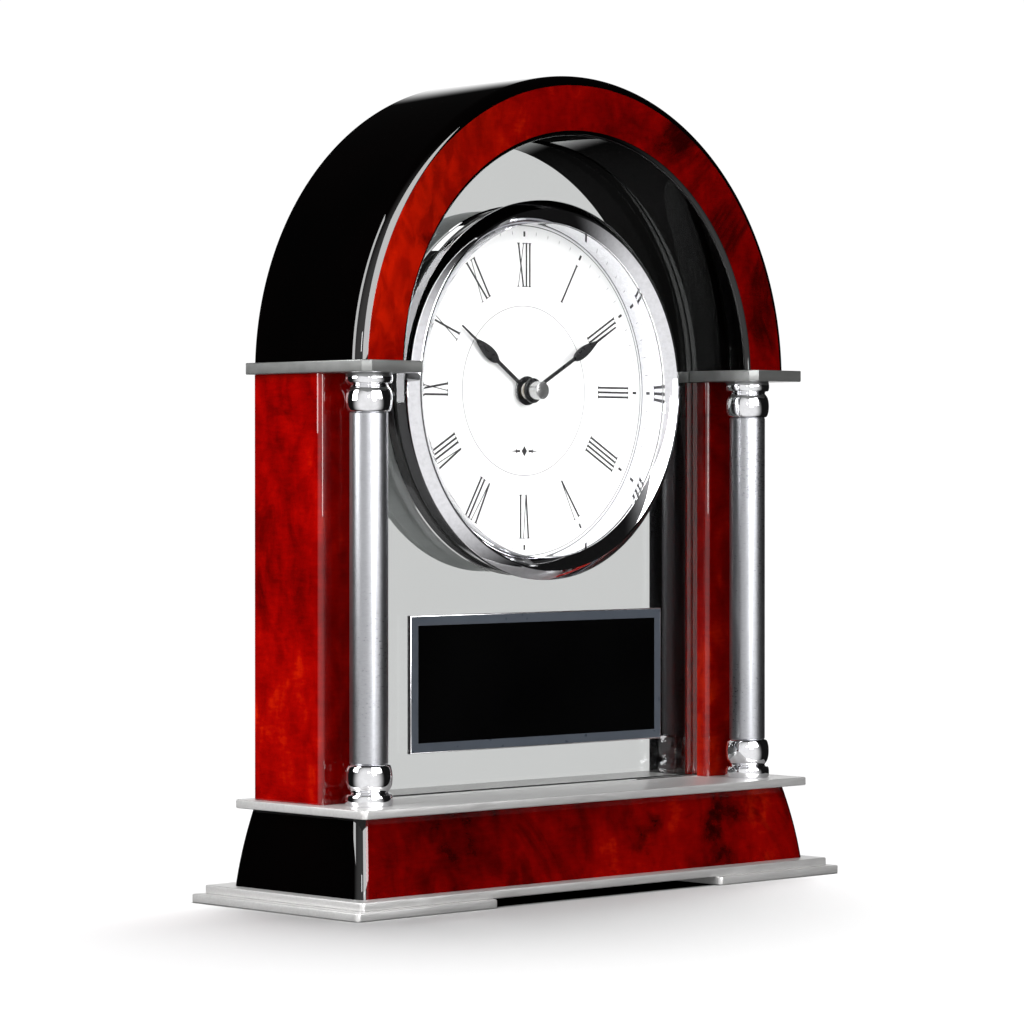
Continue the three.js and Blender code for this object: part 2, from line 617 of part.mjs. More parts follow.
add("minute_arbor", "brass", join(
  rod(MINUTE_TIP.radius, MINUTE_TIP.front, HOUR_HAND.plane, SEGMENTS.small),
  rod(MINUTE_PIPE_RADIUS, MINUTE_HAND.plane + HAND_THICKNESS + 0.1, LAYER.minute, SEGMENTS.small),
  gear(cannonPinion, MOTION_MODULE, LAYER.minute - 0.1, centre.x, centre.z, PINION_THICKNESS + 0.1),
));

const KNOB = { radius: 4.2, front: MOVEMENT.back + 0.3, back: 21, flutes: 18 };
const knobOutline = new THREE.Shape();
for (let i = 0; i < KNOB.flutes * 2; i++) {
  const angle = (i * Math.PI) / KNOB.flutes;
  const radius = KNOB.radius - (i % 2) * 0.35;
  const x = minutePlace.x + radius * Math.cos(angle);
  const z = minutePlace.z + radius * Math.sin(angle);
  if (i === 0) {
    knobOutline.moveTo(x, z);
  } else {
    knobOutline.lineTo(x, z);
  }
}

add("minute_wheel", "whitePlastic", join(
  gear(minuteWheel, MOTION_MODULE, LAYER.minute, minutePlace.x, minutePlace.z),
  gear(minutePinion, MOTION_MODULE, LAYER.hour - 0.1, minutePlace.x, minutePlace.z, LAYER.minute - LAYER.hour + 0.2),
  rod(KNOB_ARBOR_RADIUS, LAYER.minute, KNOB.front, SEGMENTS.tiny, minutePlace.x, minutePlace.z),
));
add("set_knob", "black", faceOn(knobOutline, KNOB.front, KNOB.back));

add("centre_wheel", "brass", join(
  gear(centreWheel, TRAIN_MODULE, LAYER.centre, centre.x, centre.z),
  rod(0.8, LAYER.centre, LAYER.centre + 1.6, SEGMENTS.tiny),
));

// A wheel with a smaller pinion on the same arbor, in the layer in front of it
function compound(name, wheel, pinion, wheelY, pinionY, place) {
  const pinionEnd = wheelY - pinionY + 0.1;
  add(name, "brass", join(
    gear(wheel, TRAIN_MODULE, wheelY, place.x, place.z),
    gear(pinion, TRAIN_MODULE, pinionY - 0.1, place.x, place.z, pinionEnd + 0.1),
    rod(ARBOR_RADIUS * 0.7, pinionY - 0.5, wheelY + WHEEL_THICKNESS + 0.3, SEGMENTS.tiny, place.x, place.z),
  ));
}
compound("third_wheel", thirdWheel, thirdPinion, LAYER.third, LAYER.centre, thirdPlace);
compound("fourth_wheel", fourthWheel, fourthPinion, LAYER.fourth, LAYER.third, fourthPlace);
compound("step_wheel", stepWheel, stepPinion, LAYER.step, LAYER.fourth, stepPlace);

const MAGNET = { radius: 2.1, length: 2.4 };
add("rotor", "steel", join(
  gear(rotorPinion, TRAIN_MODULE, LAYER.step - 0.1, rotorPlace.x, rotorPlace.z, PINION_THICKNESS),
  rod(ARBOR_RADIUS, LAYER.step, LAYER.magnet + MAGNET.length + 1, SEGMENTS.tiny, rotorPlace.x, rotorPlace.z),
  rod(MAGNET.radius, LAYER.magnet, LAYER.magnet + MAGNET.length, SEGMENTS.small, rotorPlace.x, rotorPlace.z),
));

// ---- Electrical parts ----

// The stator is a flat frame: the rotor turns in its lower bar and the coil is wound round its upper bar
const STATOR = { y: 12, thickness: 0.8, left: -23, right: 1.5, bottom: 9.6, yokeTop: 17, barBottom: 20, barTop: 22 };
const COIL = { y: 12.4, z: 21, start: -19, end: -4.5, bore: 1.5, winding: 3.1, flange: 3.6, cheek: 0.8 };
const statorOutline = roundedRectangle(
  STATOR.left, STATOR.right, DIAL_CENTRE + STATOR.bottom, DIAL_CENTRE + STATOR.barTop, [1, 1, 0.5, 0.5]);
statorOutline.holes.push(roundedRectangle(STATOR.left + 3, STATOR.right - 3,
  DIAL_CENTRE + STATOR.yokeTop, DIAL_CENTRE + STATOR.barBottom, [0.3, 0.3, 0.3, 0.3]));
const rotorHole = new THREE.Path();
rotorHole.absarc(rotorPlace.x, rotorPlace.z, MAGNET.radius + 0.5, 0, Math.PI * 2, true);
statorOutline.holes.push(rotorHole);
add("stator", "steel", faceOn(statorOutline, STATOR.y, STATOR.y + STATOR.thickness, 3));

const coilProfile = [
  [COIL.bore, COIL.start], [COIL.flange, COIL.start], [COIL.flange, COIL.start + COIL.cheek],
  [COIL.winding, COIL.start + COIL.cheek], [COIL.winding, COIL.end - COIL.cheek],
  [COIL.flange, COIL.end - COIL.cheek], [COIL.flange, COIL.end], [COIL.bore, COIL.end], [COIL.bore, COIL.start],
].map(([radius, x]) => new THREE.Vector2(radius, x));
const coil = new THREE.LatheGeometry(coilProfile, SEGMENTS.small);
add("coil", "copper", coil.rotateZ(-Math.PI / 2).translate(0, COIL.y, DIAL_CENTRE + COIL.z));

const BOARD = { left: 13, right: 26, bottom: -9, top: 3, y: 10.6, thickness: 0.8 };
const CRYSTAL = { radius: 1, x: 16, z: -3, length: 6.2 };
add("circuit_board", "board", box(BOARD.left, BOARD.right, BOARD.y, BOARD.y + BOARD.thickness,
  DIAL_CENTRE + BOARD.bottom, DIAL_CENTRE + BOARD.top));
const crystalY = BOARD.y + BOARD.thickness + CRYSTAL.radius + 0.1;
add("quartz_crystal", "satin", pin(CRYSTAL.radius, DIAL_CENTRE + CRYSTAL.z - CRYSTAL.length / 2,
  DIAL_CENTRE + CRYSTAL.z + CRYSTAL.length / 2, SEGMENTS.tiny, CRYSTAL.x, crystalY));

const cellZ = DIAL_CENTRE + BATTERY.z;
const cellProfile = [
  [0, -BATTERY.half], [BATTERY.radius, -BATTERY.half], [BATTERY.radius, BATTERY.half],
  [BATTERY.nub, BATTERY.half], [BATTERY.nub, BATTERY.half + BATTERY.nubLength], [0, BATTERY.half + BATTERY.nubLength],
].map(([radius, x]) => new THREE.Vector2(radius, x));
const cell = new THREE.LatheGeometry(cellProfile, SEGMENTS.medium);
add("battery", "cell", cell.rotateZ(-Math.PI / 2).translate(0, BATTERY.y, cellZ));

const CONTACT = { half: 4, thickness: 0.4 };
const cellEnd = BATTERY.half + BATTERY.nubLength;
const contact = (x0, x1) =>
  box(x0, x1, BATTERY.y - CONTACT.half, BATTERY.y + CONTACT.half, cellZ - CONTACT.half, cellZ + CONTACT.half);
add("contact_positive", "brass", contact(cellEnd + 0.1, cellEnd + 0.1 + CONTACT.thickness));
add("contact_negative", "brass", contact(-BATTERY.half - 0.1 - CONTACT.thickness, -BATTERY.half - 0.1));

// ---- Movement case ----

const half = MOVEMENT.half;
const inner = half - MOVEMENT.wall;
const bay = inner - GAP;
const squarePlan = (size, corner) =>
  roundedRectangle(-size, size, DIAL_CENTRE - size, DIAL_CENTRE + size, Array(4).fill(corner));

add("movement_case_front", "black", cut(
  join(
    faceOn(squarePlan(half, MOVEMENT.corner), MOVEMENT.front, MOVEMENT.split, 2),
    rod(BUSHING.radius, BUSHING.front, MOVEMENT.front + 1, SEGMENTS.medium),
  ),
  faceOn(squarePlan(inner, MOVEMENT.corner - 1), MOVEMENT.front + MOVEMENT.floor, MOVEMENT.split + 1, 2),
  rod(BUSHING.bore, BUSHING.front - 1, MOVEMENT.split, SEGMENTS.medium),
));

add("movement_case_rear", "black", cut(
  faceOn(squarePlan(half, MOVEMENT.corner), MOVEMENT.split, MOVEMENT.back, 2),
  faceOn(squarePlan(inner, MOVEMENT.corner - 1), MOVEMENT.split - 1, MOVEMENT.back - MOVEMENT.floor, 2),
  box(-bay, bay, MOVEMENT.back - MOVEMENT.floor - 1, MOVEMENT.back + 1, DIAL_CENTRE - bay, DIAL_CENTRE + BAY_TOP),
  rod(KNOB_ARBOR_RADIUS + GAP, MOVEMENT.split, MOVEMENT.back + 1, SEGMENTS.tiny, minutePlace.x, minutePlace.z),
));

add("dial_nut", "brass", tube(BUSHING.radius + 0.05, DIAL_NUT.radius, DIAL_NUT.front, DIAL.front, SEGMENTS.medium));

export default clock;
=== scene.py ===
"""An arched mantel clock in red burl and black lacquer, with metal plates and columns, a clear glass
panel and a round quartz insert. The axes are the frame's: +Z up, -Y the front. Sizes of pieces are in
millimetres, and MM turns them into Blender's metres. Materials, lights, floor and camera are in metres.
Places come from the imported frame."""
import math
import bmesh
import bpy
from collections import namedtuple
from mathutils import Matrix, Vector

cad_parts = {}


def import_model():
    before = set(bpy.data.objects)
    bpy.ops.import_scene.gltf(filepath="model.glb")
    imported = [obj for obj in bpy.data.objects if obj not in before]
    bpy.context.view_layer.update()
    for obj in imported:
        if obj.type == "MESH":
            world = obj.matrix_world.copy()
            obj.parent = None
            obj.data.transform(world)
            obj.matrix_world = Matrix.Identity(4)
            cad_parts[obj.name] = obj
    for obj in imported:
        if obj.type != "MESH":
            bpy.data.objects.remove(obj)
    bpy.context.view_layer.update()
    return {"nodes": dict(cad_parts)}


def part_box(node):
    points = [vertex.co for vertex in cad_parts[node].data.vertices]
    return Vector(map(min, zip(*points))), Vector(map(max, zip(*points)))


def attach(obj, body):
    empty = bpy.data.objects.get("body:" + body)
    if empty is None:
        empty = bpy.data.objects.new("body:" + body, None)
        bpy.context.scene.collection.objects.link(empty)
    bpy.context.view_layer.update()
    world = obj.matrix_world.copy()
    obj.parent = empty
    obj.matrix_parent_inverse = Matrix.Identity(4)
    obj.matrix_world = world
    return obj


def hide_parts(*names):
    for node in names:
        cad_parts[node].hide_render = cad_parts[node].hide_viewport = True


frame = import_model()

MM = 0.001
TAU = math.tau
WELD = 1e-7
ON_AXIS = 1e-6
MITRE_LIMIT = 0.35
SIDES = (("left", -1), ("right", 1))


class Box(namedtuple("Box", "x0 x1 y0 y1 z0 z1")):
    """A box with its lowest and highest values along each axis, and its middle."""
    x = property(lambda b: (b.x0 + b.x1) / 2)
    y = property(lambda b: (b.y0 + b.y1) / 2)
    z = property(lambda b: (b.z0 + b.z1) / 2)


def span(node):
    """The box of a CAD node, in millimetres."""
    low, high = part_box(node)
    return Box(low.x / MM, high.x / MM, low.y / MM, high.y / MM, low.z / MM, high.z / MM)


# ---------------- outlines

def arc(x, y, radius, start, end, steps):
    """Points on an arc, with angles in degrees."""
    angles = [math.radians(start + (end - start) * i / steps) for i in range(steps + 1)]
    return [(x + radius * math.cos(a), y + radius * math.sin(a)) for a in angles]


def fillet(points, radii, steps=6, closed=True):
    """The polyline with each corner rounded by its own radius; 0 keeps a sharp corner."""
    rounded = []
    count = len(points)
    for i, (x, y) in enumerate(points):
        radius = radii[i] if isinstance(radii, (list, tuple)) else radii
        if radius <= 0 or (not closed and i in (0, count - 1)):
            rounded.append((x, y))
            continue
        corner = Vector((x, y))
        before = (Vector(points[i - 1]) - corner).normalized()
        after = (Vector(points[(i + 1) % count]) - corner).normalized()
        half = before.angle(after) / 2
        reach = radius / math.tan(half)
        centre = corner + (before + after).normalized() * (radius / math.sin(half))
        first = corner + before * reach - centre
        last = corner + after * reach - centre
        turn = first.angle_signed(last)
        for step in range(steps + 1):
            a = -turn * step / steps
            c, s = math.cos(a), math.sin(a)
            rounded.append((centre.x + first.x * c - first.y * s,
                            centre.y + first.x * s + first.y * c))
    return rounded


def inset(points, distance):
    """The closed outline moved inwards; outlines run anticlockwise."""
    moved = []
    count = len(points)
    for i in range(count):
        here = Vector(points[i])
        a = (here - Vector(points[i - 1])).normalized()
        b = (Vector(points[(i + 1) % count]) - here).normalized()
        na, nb = Vector((-a.y, a.x)), Vector((-b.y, b.x))
        middle = (na + nb).normalized()
        stretch = 1 / max(MITRE_LIMIT, middle.dot(na))
        moved.append(tuple(here + middle * distance * stretch))
    return moved


def area(points):
    """The signed area; positive when the outline runs anticlockwise."""
    return sum(points[i - 1][0] * p[1] - p[0] * points[i - 1][1] for i, p in enumerate(points)) / 2


def anticlockwise(points):
    return points if area(points) > 0 else points[::-1]


def rectangle(x0, x1, y0, y1):
    return [(x0, y0), (x1, y0), (x1, y1), (x0, y1)]


def circle(x, y, radius, steps):
    return arc(x, y, radius, 0, 360 - 360 / steps, steps - 1)


# ---------------- meshes

def upright(u, v, w):
    """An outline drawn in plan."""
    return (u, v, w)


def face_on(u, v, w):
    """An outline drawn as seen from the front: u is X, v is Z and w is Y."""
    return (u, w, v)


def bridge(bm, rings):
    """Joins each closed ring of points to the next."""
    for lower, upper in zip(rings, rings[1:]):
        for i in range(len(lower)):
            bm.faces.new((lower[i - 1], lower[i], upper[i], upper[i - 1]))


def slab(bm, outline, w0, w1, edge=0.3, place=upright, steps=3, holes=()):
    """A flat piece with rounded rims between two levels, with through holes."""
    quarter = [math.pi / 2 * i / steps for i in range(steps + 1)]
    rims = [(edge * (1 - math.sin(a)), w0 + edge * (1 - math.cos(a))) for a in quarter]
    rims += [(edge * (1 - math.sin(a)), w1 - edge * (1 - math.cos(a))) for a in reversed(quarter)]
    if edge <= 0:
        rims = [(0, w0), (0, w1)]
    bottoms, tops = [], []
    for index, points in enumerate([outline, *holes]):
        loop = anticlockwise(points)
        sign = -1 if index else 1
        rings = []
        for distance, w in rims:
            ring = inset(loop, sign * distance)
            rings.append([bm.verts.new(Vector(place(u, v, w)) * MM) for u, v in ring])
        bridge(bm, rings)
        bottoms.append(rings[0])
        tops.append(rings[-1])
    for loops in (bottoms, tops):
        if len(loops) == 1:
            bm.faces.new(loops[0])
            continue
        edges = [bm.edges.get((loop[i - 1], loop[i])) for loop in loops for i in range(len(loop))]
        bmesh.ops.triangle_fill(bm, edges=edges, use_beauty=True)


def lathe(bm, profile, axis, x=0, y=0, z=0, segments=96, end=360):
    """A profile of (radius, height) pairs turned about a line along an axis, through end degrees."""
    whole = end >= 360
    count = segments if whole else segments + 1
    rings = []
    for radius, height in profile:
        ring = []
        for i in range(1 if radius < ON_AXIS and whole else count):
            a = math.radians(end * i / segments)
            u, v = radius * math.cos(a), radius * math.sin(a)
            point = {"X": (height, y + u, z + v), "Y": (x + u, height, z + v), "Z": (x + u, y + v, height)}
            ring.append(bm.verts.new(Vector(point[axis]) * MM))
        rings.append(ring)
    for a, b in zip(rings, rings[1:]):
        for i in range(count if whole else count - 1):
            j = (i + 1) % count
            corners = [a[i % len(a)], a[j % len(a)], b[j % len(b)], b[i % len(b)]]
            unique = list(dict.fromkeys(corners))
            if len(unique) > 2:
                bm.faces.new(unique)


def closed(profile):
    return profile + [profile[0]]


def everything(bm):
    return list(bm.verts) + list(bm.edges) + list(bm.faces)


def piece(name, bm, materials, replaces=(), body="frame", sharp=32, pick=None):
    """Turns a bmesh into a finished piece: materials, shading, and its tie to the frame."""
    bmesh.ops.remove_doubles(bm, verts=bm.verts, dist=WELD)
    bmesh.ops.recalc_face_normals(bm, faces=bm.faces)
    mesh = bpy.data.meshes.new(name)
    if pick:
        for face in bm.faces:
            face.material_index = pick(face)
    bm.to_mesh(mesh)
    bm.free()
    obj = bpy.data.objects.new(name, mesh)
    bpy.context.scene.collection.objects.link(obj)
    for material in materials if isinstance(materials, (list, tuple)) else [materials]:
        mesh.materials.append(material)
    mesh.polygons.foreach_set("use_smooth", [True] * len(mesh.polygons))
    mesh.set_sharp_from_angle(angle=math.radians(sharp))
    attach(obj, body)
    if replaces:
        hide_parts(*replaces)
    return obj


# ---------------- node helpers

# Most of a noise's values lie between these two.
NOISE_LOW, NOISE_HIGH = 0.3, 0.7


def feed(tree, socket, value):
    """Links a socket to another, or sets its value; a colour gets its alpha."""
    if isinstance(value, bpy.types.NodeSocket):
        tree.links.new(value, socket)
    elif isinstance(value, tuple):
        socket.default_value = (*value, 1)
    else:
        socket.default_value = value


def maths(tree, operation, a, b):
    node = tree.nodes.new("ShaderNodeMath")
    node.operation = operation
    feed(tree, node.inputs[0], a)
    feed(tree, node.inputs[1], b)
    return node.outputs[0]


def map_range(tree, factor, a, b, low, high, interpolation="LINEAR"):
    """Maps the range from a to b to the range from low to high."""
    node = tree.nodes.new("ShaderNodeMapRange")
    node.interpolation_type = interpolation
    for key, value in zip(("From Min", "From Max", "To Min", "To Max"), (a, b, low, high)):
        node.inputs[key].default_value = value
    tree.links.new(factor, node.inputs["Value"])
    return node.outputs["Result"]


class Look:
    """A procedural material under construction. Coordinates are the object's own, in metres."""

    def __init__(self, name):
        self.material = bpy.data.materials.new(name)
        self.material.use_nodes = True
        self.tree = self.material.node_tree
        self.shader = self.tree.nodes["Principled BSDF"]
        self.coords = self.tree.nodes.new("ShaderNodeTexCoord").outputs["Object"]

    def set(self, **values):
        for key, value in values.items():
            self.shader.inputs[key.replace("_", " ")].default_value = value
        return self

    def link(self, socket, name):
        self.tree.links.new(socket, self.shader.inputs[name])
        return self

    def stretch(self, x, y, z):
        node = self.tree.nodes.new("ShaderNodeMapping")
        node.inputs["Scale"].default_value = (x, y, z)
        self.tree.links.new(self.coords, node.inputs["Vector"])
        return node.outputs["Vector"]

    def noise(self, scale, detail=4, rough=0.55, distortion=0, source=None):
        node = self.tree.nodes.new("ShaderNodeTexNoise")
        node.inputs["Scale"].default_value = scale
        node.inputs["Detail"].default_value = detail
        node.inputs["Roughness"].default_value = rough
        node.inputs["Distortion"].default_value = distortion
        self.tree.links.new(source or self.coords, node.inputs["Vector"])
        return node.outputs["Fac"]

    def ramp(self, factor, stops):
        node = self.tree.nodes.new("ShaderNodeValToRGB")
        elements = node.color_ramp.elements
        while len(elements) < len(stops):
            elements.new(0.5)
        for element, (position, colour) in zip(elements, stops):
            element.position = position
            element.color = (*colour, 1)
        self.tree.links.new(factor, node.inputs["Fac"])
        return node.outputs["Color"]

    def remap(self, factor, low, high, a, b):
        """The factor's range from a to b becomes the range from low to high."""
        return map_range(self.tree, factor, a, b, low, high)

    def around(self, noise, middle, spread):
        return self.remap(noise, middle - spread, middle + spread, NOISE_LOW, NOISE_HIGH)

    def mix(self, factor, a, b):
        node = self.tree.nodes.new("ShaderNodeMix")
        node.data_type = "RGBA"
        for socket, value in zip((node.inputs[0], node.inputs[6], node.inputs[7]), (factor, a, b)):
            feed(self.tree, socket, value)
        return node.outputs[2]

    def maths(self, operation, a, b):
        return maths(self.tree, operation, a, b)

    def bump(self, height, strength, distance):
        node = self.tree.nodes.new("ShaderNodeBump")
        node.inputs["Strength"].default_value = strength
        node.inputs["Distance"].default_value = distance
        self.tree.links.new(height, node.inputs["Height"])
        return self.link(node.outputs["Normal"], "Normal")


GLASS_DARKEST = 0.985
METAL_CLOUDS = 25
METAL_CLOUD_SHARE = 0.35
METAL_DARKEST = 0.86
METAL_BUMP = 0.35
PLASTIC_CLOUDS = 40
PLASTIC_SPREAD = 0.05
PLASTIC_BUMP = 0.3


def metal(name, colour, roughness, spread, grain, fine, depth, metallic=1.0):
    """Metal with a fine grain, slow changes of gloss and a faint change of tone."""
    look = Look(name).set(Metallic=metallic)
    lines = look.noise(fine, 3, 0.6, source=look.stretch(*grain))
    clouds = look.noise(METAL_CLOUDS, 3, 0.5)
    both = look.mix(METAL_CLOUD_SHARE, lines, clouds)
    look.link(look.around(both, roughness, spread), "Roughness")
    dark = tuple(c * METAL_DARKEST for c in colour)
    look.link(look.ramp(both, [(NOISE_LOW, dark), (0.62, colour)]), "Base Color")
    look.bump(lines, METAL_BUMP, depth)
    return look.material


def plastic(name, colour, roughness, tone, scale, depth, metallic=0.0):
    """Paint, plastic or rubber with a fine skin and a slight change of tone."""
    look = Look(name).set(Metallic=metallic)
    skin = look.noise(scale, 2, 0.5)
    clouds = look.noise(PLASTIC_CLOUDS, 3, 0.5)
    light = tuple(min(1, c * (1 + tone)) for c in colour)
    dark = tuple(c * (1 - tone) for c in colour)
    look.link(look.ramp(clouds, [(NOISE_LOW, dark), (NOISE_HIGH, light)]), "Base Color")
    look.link(look.around(skin, roughness, PLASTIC_SPREAD), "Roughness")
    look.bump(skin, PLASTIC_BUMP, depth)
    return look.material


CLEAR_LACQUER = {"Coat_Weight": 1.0, "Coat_Roughness": 0.012, "Coat_IOR": 1.5, "Specular_IOR_Level": 0.0}

BURL_TONES = [
    (0.34, (0.03, 0.0, 0.0)),
    (0.43, (0.09, 0.0001, 0.0001)),
    (0.50, (0.15, 0.0002, 0.0001)),
    (0.57, (0.22, 0.0008, 0.0002)),
    (0.66, (0.38, 0.010, 0.0005)),
]
# Tones for the real stain deepened by painted shade, and for the painted pool of light.
STAIN_AND_SHADE_TONE = (0.004, 0.0, 0.0)
PAINTED_LIGHT_TONE = (1.0, 0.022, 0.0008)

# Where the stain, the painted shade and the painted light lie, in metres: the arch is everything above
# ARCH_BAND, the plinth everything below PLINTH_BAND. Painted shade thickens the real stain from the arch's
# left to its right and over the whole plinth, and a painted pool of light brightens the left of the arch.
ARCH_HALF = 0.085
ARCH_BAND = (0.144, 0.162)
PLINTH_BAND = (0.02, 0.03)
PAINTED_LIGHT_ENDS_AT = -0.02
SHADE_LEFT, SHADE_RIGHT, PLINTH_SHADE = -0.1, 0.09, 0.06
STAIN_AND_SHADE_EDGE = (0.56, 0.66)
STAIN_AND_SHADE_DEPTH = 0.9
PAINTED_LIGHT_DEPTH = 0.3


def lacquered_burl():
    """Red stained burl veneer deep under clear gloss lacquer, with painted shade and a painted pool of
    light.
    """
    look = Look("burl_lacquer").set(**CLEAR_LACQUER)
    upright_grain = look.stretch(1, 1, 0.42)
    broad = look.noise(22, 3, 0.5, 0.6, upright_grain)
    figure = look.noise(70, 4, 0.55, 1.2, look.stretch(1, 1, 0.7))
    mottle = look.noise(210, 3, 0.5, 0.5, look.stretch(1, 1, 0.6))
    fibre = look.noise(420, 4, 0.6, 0.2, look.stretch(0.6, 0.6, 2.4))
    cloud = look.mix(0.38, broad, figure)
    cloud = look.mix(0.22, cloud, mottle)
    cloud = look.mix(0.12, cloud, fibre)
    base = look.ramp(cloud, BURL_TONES)

    stain = look.noise(16, 6, 0.62, 0.9)
    place = look.tree.nodes.new("ShaderNodeSeparateXYZ")
    look.tree.links.new(look.coords, place.inputs[0])
    x, z = place.outputs["X"], place.outputs["Z"]
    on_arch = look.remap(z, 0.0, 1.0, *ARCH_BAND)
    # Painted shade: the arch grows darker from left to right and the plinth darker overall, over the real
    # stain.
    across = look.remap(x, SHADE_LEFT, SHADE_RIGHT, -ARCH_HALF, ARCH_HALF)
    painted_shade = look.maths("MULTIPLY", across, on_arch)
    painted_shade = look.maths("ADD", painted_shade, look.remap(z, PLINTH_SHADE, 0.0, *PLINTH_BAND))
    depth = look.remap(look.maths("ADD", stain, painted_shade), 0.0, STAIN_AND_SHADE_DEPTH, *STAIN_AND_SHADE_EDGE)
    # Painted light: a pool of bright red on the arch's left, where the lamp stands near.
    painted_light = look.maths("MULTIPLY", look.remap(x, PAINTED_LIGHT_DEPTH, 0.0, -ARCH_HALF, PAINTED_LIGHT_ENDS_AT), on_arch)
    painted_light = look.maths("MULTIPLY", painted_light, look.remap(mottle, 0.7, 1.4, 0.42, 0.62))
    base = look.mix(painted_light, base, PAINTED_LIGHT_TONE)
    look.link(look.mix(depth, base, STAIN_AND_SHADE_TONE), "Base Color")
    look.link(look.remap(fibre, 0.42, 0.6, NOISE_LOW, NOISE_HIGH), "Roughness")
    return look.material


def smooth_black(look, noise, tones, roughness):
    """A black surface whose tone and gloss change slowly."""
    slow = look.noise(*noise)
    look.link(look.ramp(slow, tones), "Base Color")
    look.link(look.remap(slow, *roughness, NOISE_LOW, NOISE_HIGH), "Roughness")
    return look.material


def black_lacquer():
    """Black gloss lacquer."""
    tones = [(NOISE_LOW, (0.0001, 0.0001, 0.0001)), (0.75, (0.0004, 0.0002, 0.0002))]
    look = Look("black_lacquer").set(**CLEAR_LACQUER)
    return smooth_black(look, (30, 3, 0.5), tones, (0.3, 0.45))


def satin_black():
    """Smooth black lacquered brass."""
    tones = [(NOISE_LOW, (0.0005, 0.0005, 0.0006)), (NOISE_HIGH, (0.0012, 0.0012, 0.0013))]
    look = Look("plaque_black").set(Specular_IOR_Level=0.12)
    return smooth_black(look, (25, 2, 0.5), tones, (0.14, 0.18))


def clear_glass(name, tint, waves):
    """Clear glass with a body tint that changes very slightly."""
    look = Look(name).set(Transmission_Weight=1.0, IOR=1.5, Roughness=0.0)
    dark = tuple(c * GLASS_DARKEST for c in tint)
    look.link(look.ramp(look.noise(waves, 2, 0.4), [(0.35, dark), (0.65, tint)]), "Base Color")
    return look.material


# Metals: colour, roughness and its spread, stretch and scale of the grain, depth of its bump, metallic.
# Plastics: colour, roughness, change of tone, scale and depth of the skin, metallic.
LOOKS = {
    "satin_plate": metal("satin_plate", (0.64, 0.635, 0.63), 0.36, 0.05, (0.08, 1, 1), 1500, 1.2e-5, 0.6),
    "abacus": metal("abacus_metal", (0.27, 0.275, 0.27), 0.3, 0.03, (0.3, 1, 1), 300, 4e-7, 0.8),
    "chrome": metal("chrome", (0.86, 0.86, 0.88), 0.035, 0.015, (1, 1, 1), 500, 0.000001),
    "bezel_chrome": metal("bezel_chrome", (0.82, 0.82, 0.85), 0.03, 0.02, (1, 1, 1), 700, 0.000001),
    "shaft": metal("brushed_shaft", (0.37, 0.375, 0.395), 0.3, 0.05, (0.35, 0.35, 1), 2600, 0.000004),
    "drum": metal("drum_metal", (0.66, 0.69, 0.68), 0.42, 0.06, (1, 0.1, 1), 900, 0.000008, 0.4),
    "steel": metal("steel", (0.5, 0.5, 0.5), 0.2, 0.05, (1, 1, 1), 800, 0.000004),
    "brass": metal("brass", (0.62, 0.44, 0.16), 0.28, 0.06, (1, 1, 1), 800, 0.00001),
    "copper": metal("copper_wire", (0.56, 0.24, 0.09), 0.3, 0.06, (1, 1, 1), 1200, 0.00002),
    "burl": lacquered_burl(),
    "black": black_lacquer(),
    "glass": clear_glass("panel_glass", (0.62, 0.63, 0.625), 30),
    "lens": clear_glass("lens_glass", (0.985, 0.985, 0.985), 30),
    "plaque": satin_black(),
    "border": plastic("plaque_border", (0.085, 0.1, 0.125), 0.32, 0.05, 350, 0.000001, 0.3),
    "plate_rim": metal("plaque_rim", (0.62, 0.62, 0.64), 0.22, 0.04, (1, 1, 1), 900, 0.000004),
    "tape": plastic("foam_tape", (0.5, 0.5, 0.48), 0.85, 0.1, 500, 0.0001),
    "dial": plastic("dial_white", (0.86, 0.865, 0.86), 0.42, 0.008, 700, 0.000002),
    "print": plastic("dial_print", (0.008, 0.0075, 0.009), 0.5, 0.2, 900, 0.000002),
    "faint": plastic("dial_faint_print", (0.1, 0.105, 0.1), 0.5, 0.08, 900, 0.000002),
    "hand": plastic("hand_black", (0.0035, 0.0035, 0.0045), 0.3, 0.2, 800, 0.000002),
    "rubber": plastic("black_rubber", (0.016, 0.017, 0.016), 0.6, 0.2, 700, 0.00003),
    "moulded": plastic("black_plastic", (0.018, 0.018, 0.019), 0.42, 0.15, 1400, 0.00003),
    "white_plastic": plastic("white_plastic", (0.78, 0.76, 0.72), 0.35, 0.04, 900, 0.00001),
    "board": plastic("board_green", (0.02, 0.12, 0.045), 0.35, 0.2, 900, 0.00001),
    "cell": plastic("cell_jacket", (0.045, 0.05, 0.06), 0.3, 0.15, 900, 0.000004, 0.4),
    "cell_band": plastic("cell_band", (0.45, 0.3, 0.09), 0.3, 0.1, 900, 0.000004, 0.6),
    "dowel": plastic("dowel_wood", (0.5, 0.34, 0.18), 0.6, 0.25, 300, 0.00005),
}

# ---------------- base

PLATE_EDGE = 0.35
PLATE_CORNER = 1.2
MIDDLE_PLATE_CORNER = 1.4
CORNER_STEPS = 8


def plate(name, node, corner, holes=()):
    b = span(node)
    outline = fillet(rectangle(b.x0, b.x1, b.y0, b.y1), corner, CORNER_STEPS)
    bm = bmesh.new()
    slab(bm, outline, b.z0, b.z1, PLATE_EDGE, holes=holes)
    piece(name, bm, LOOKS["satin_plate"], (node,))


SCREW_HOLE = 3.5
SCREW_SHANK = 1.7
SCREW_CONE = (0.6, 1.9)
RECESS_ARM = 2.2
RECESS_HALF = 0.4
RECESS_DEPTH = 0.7


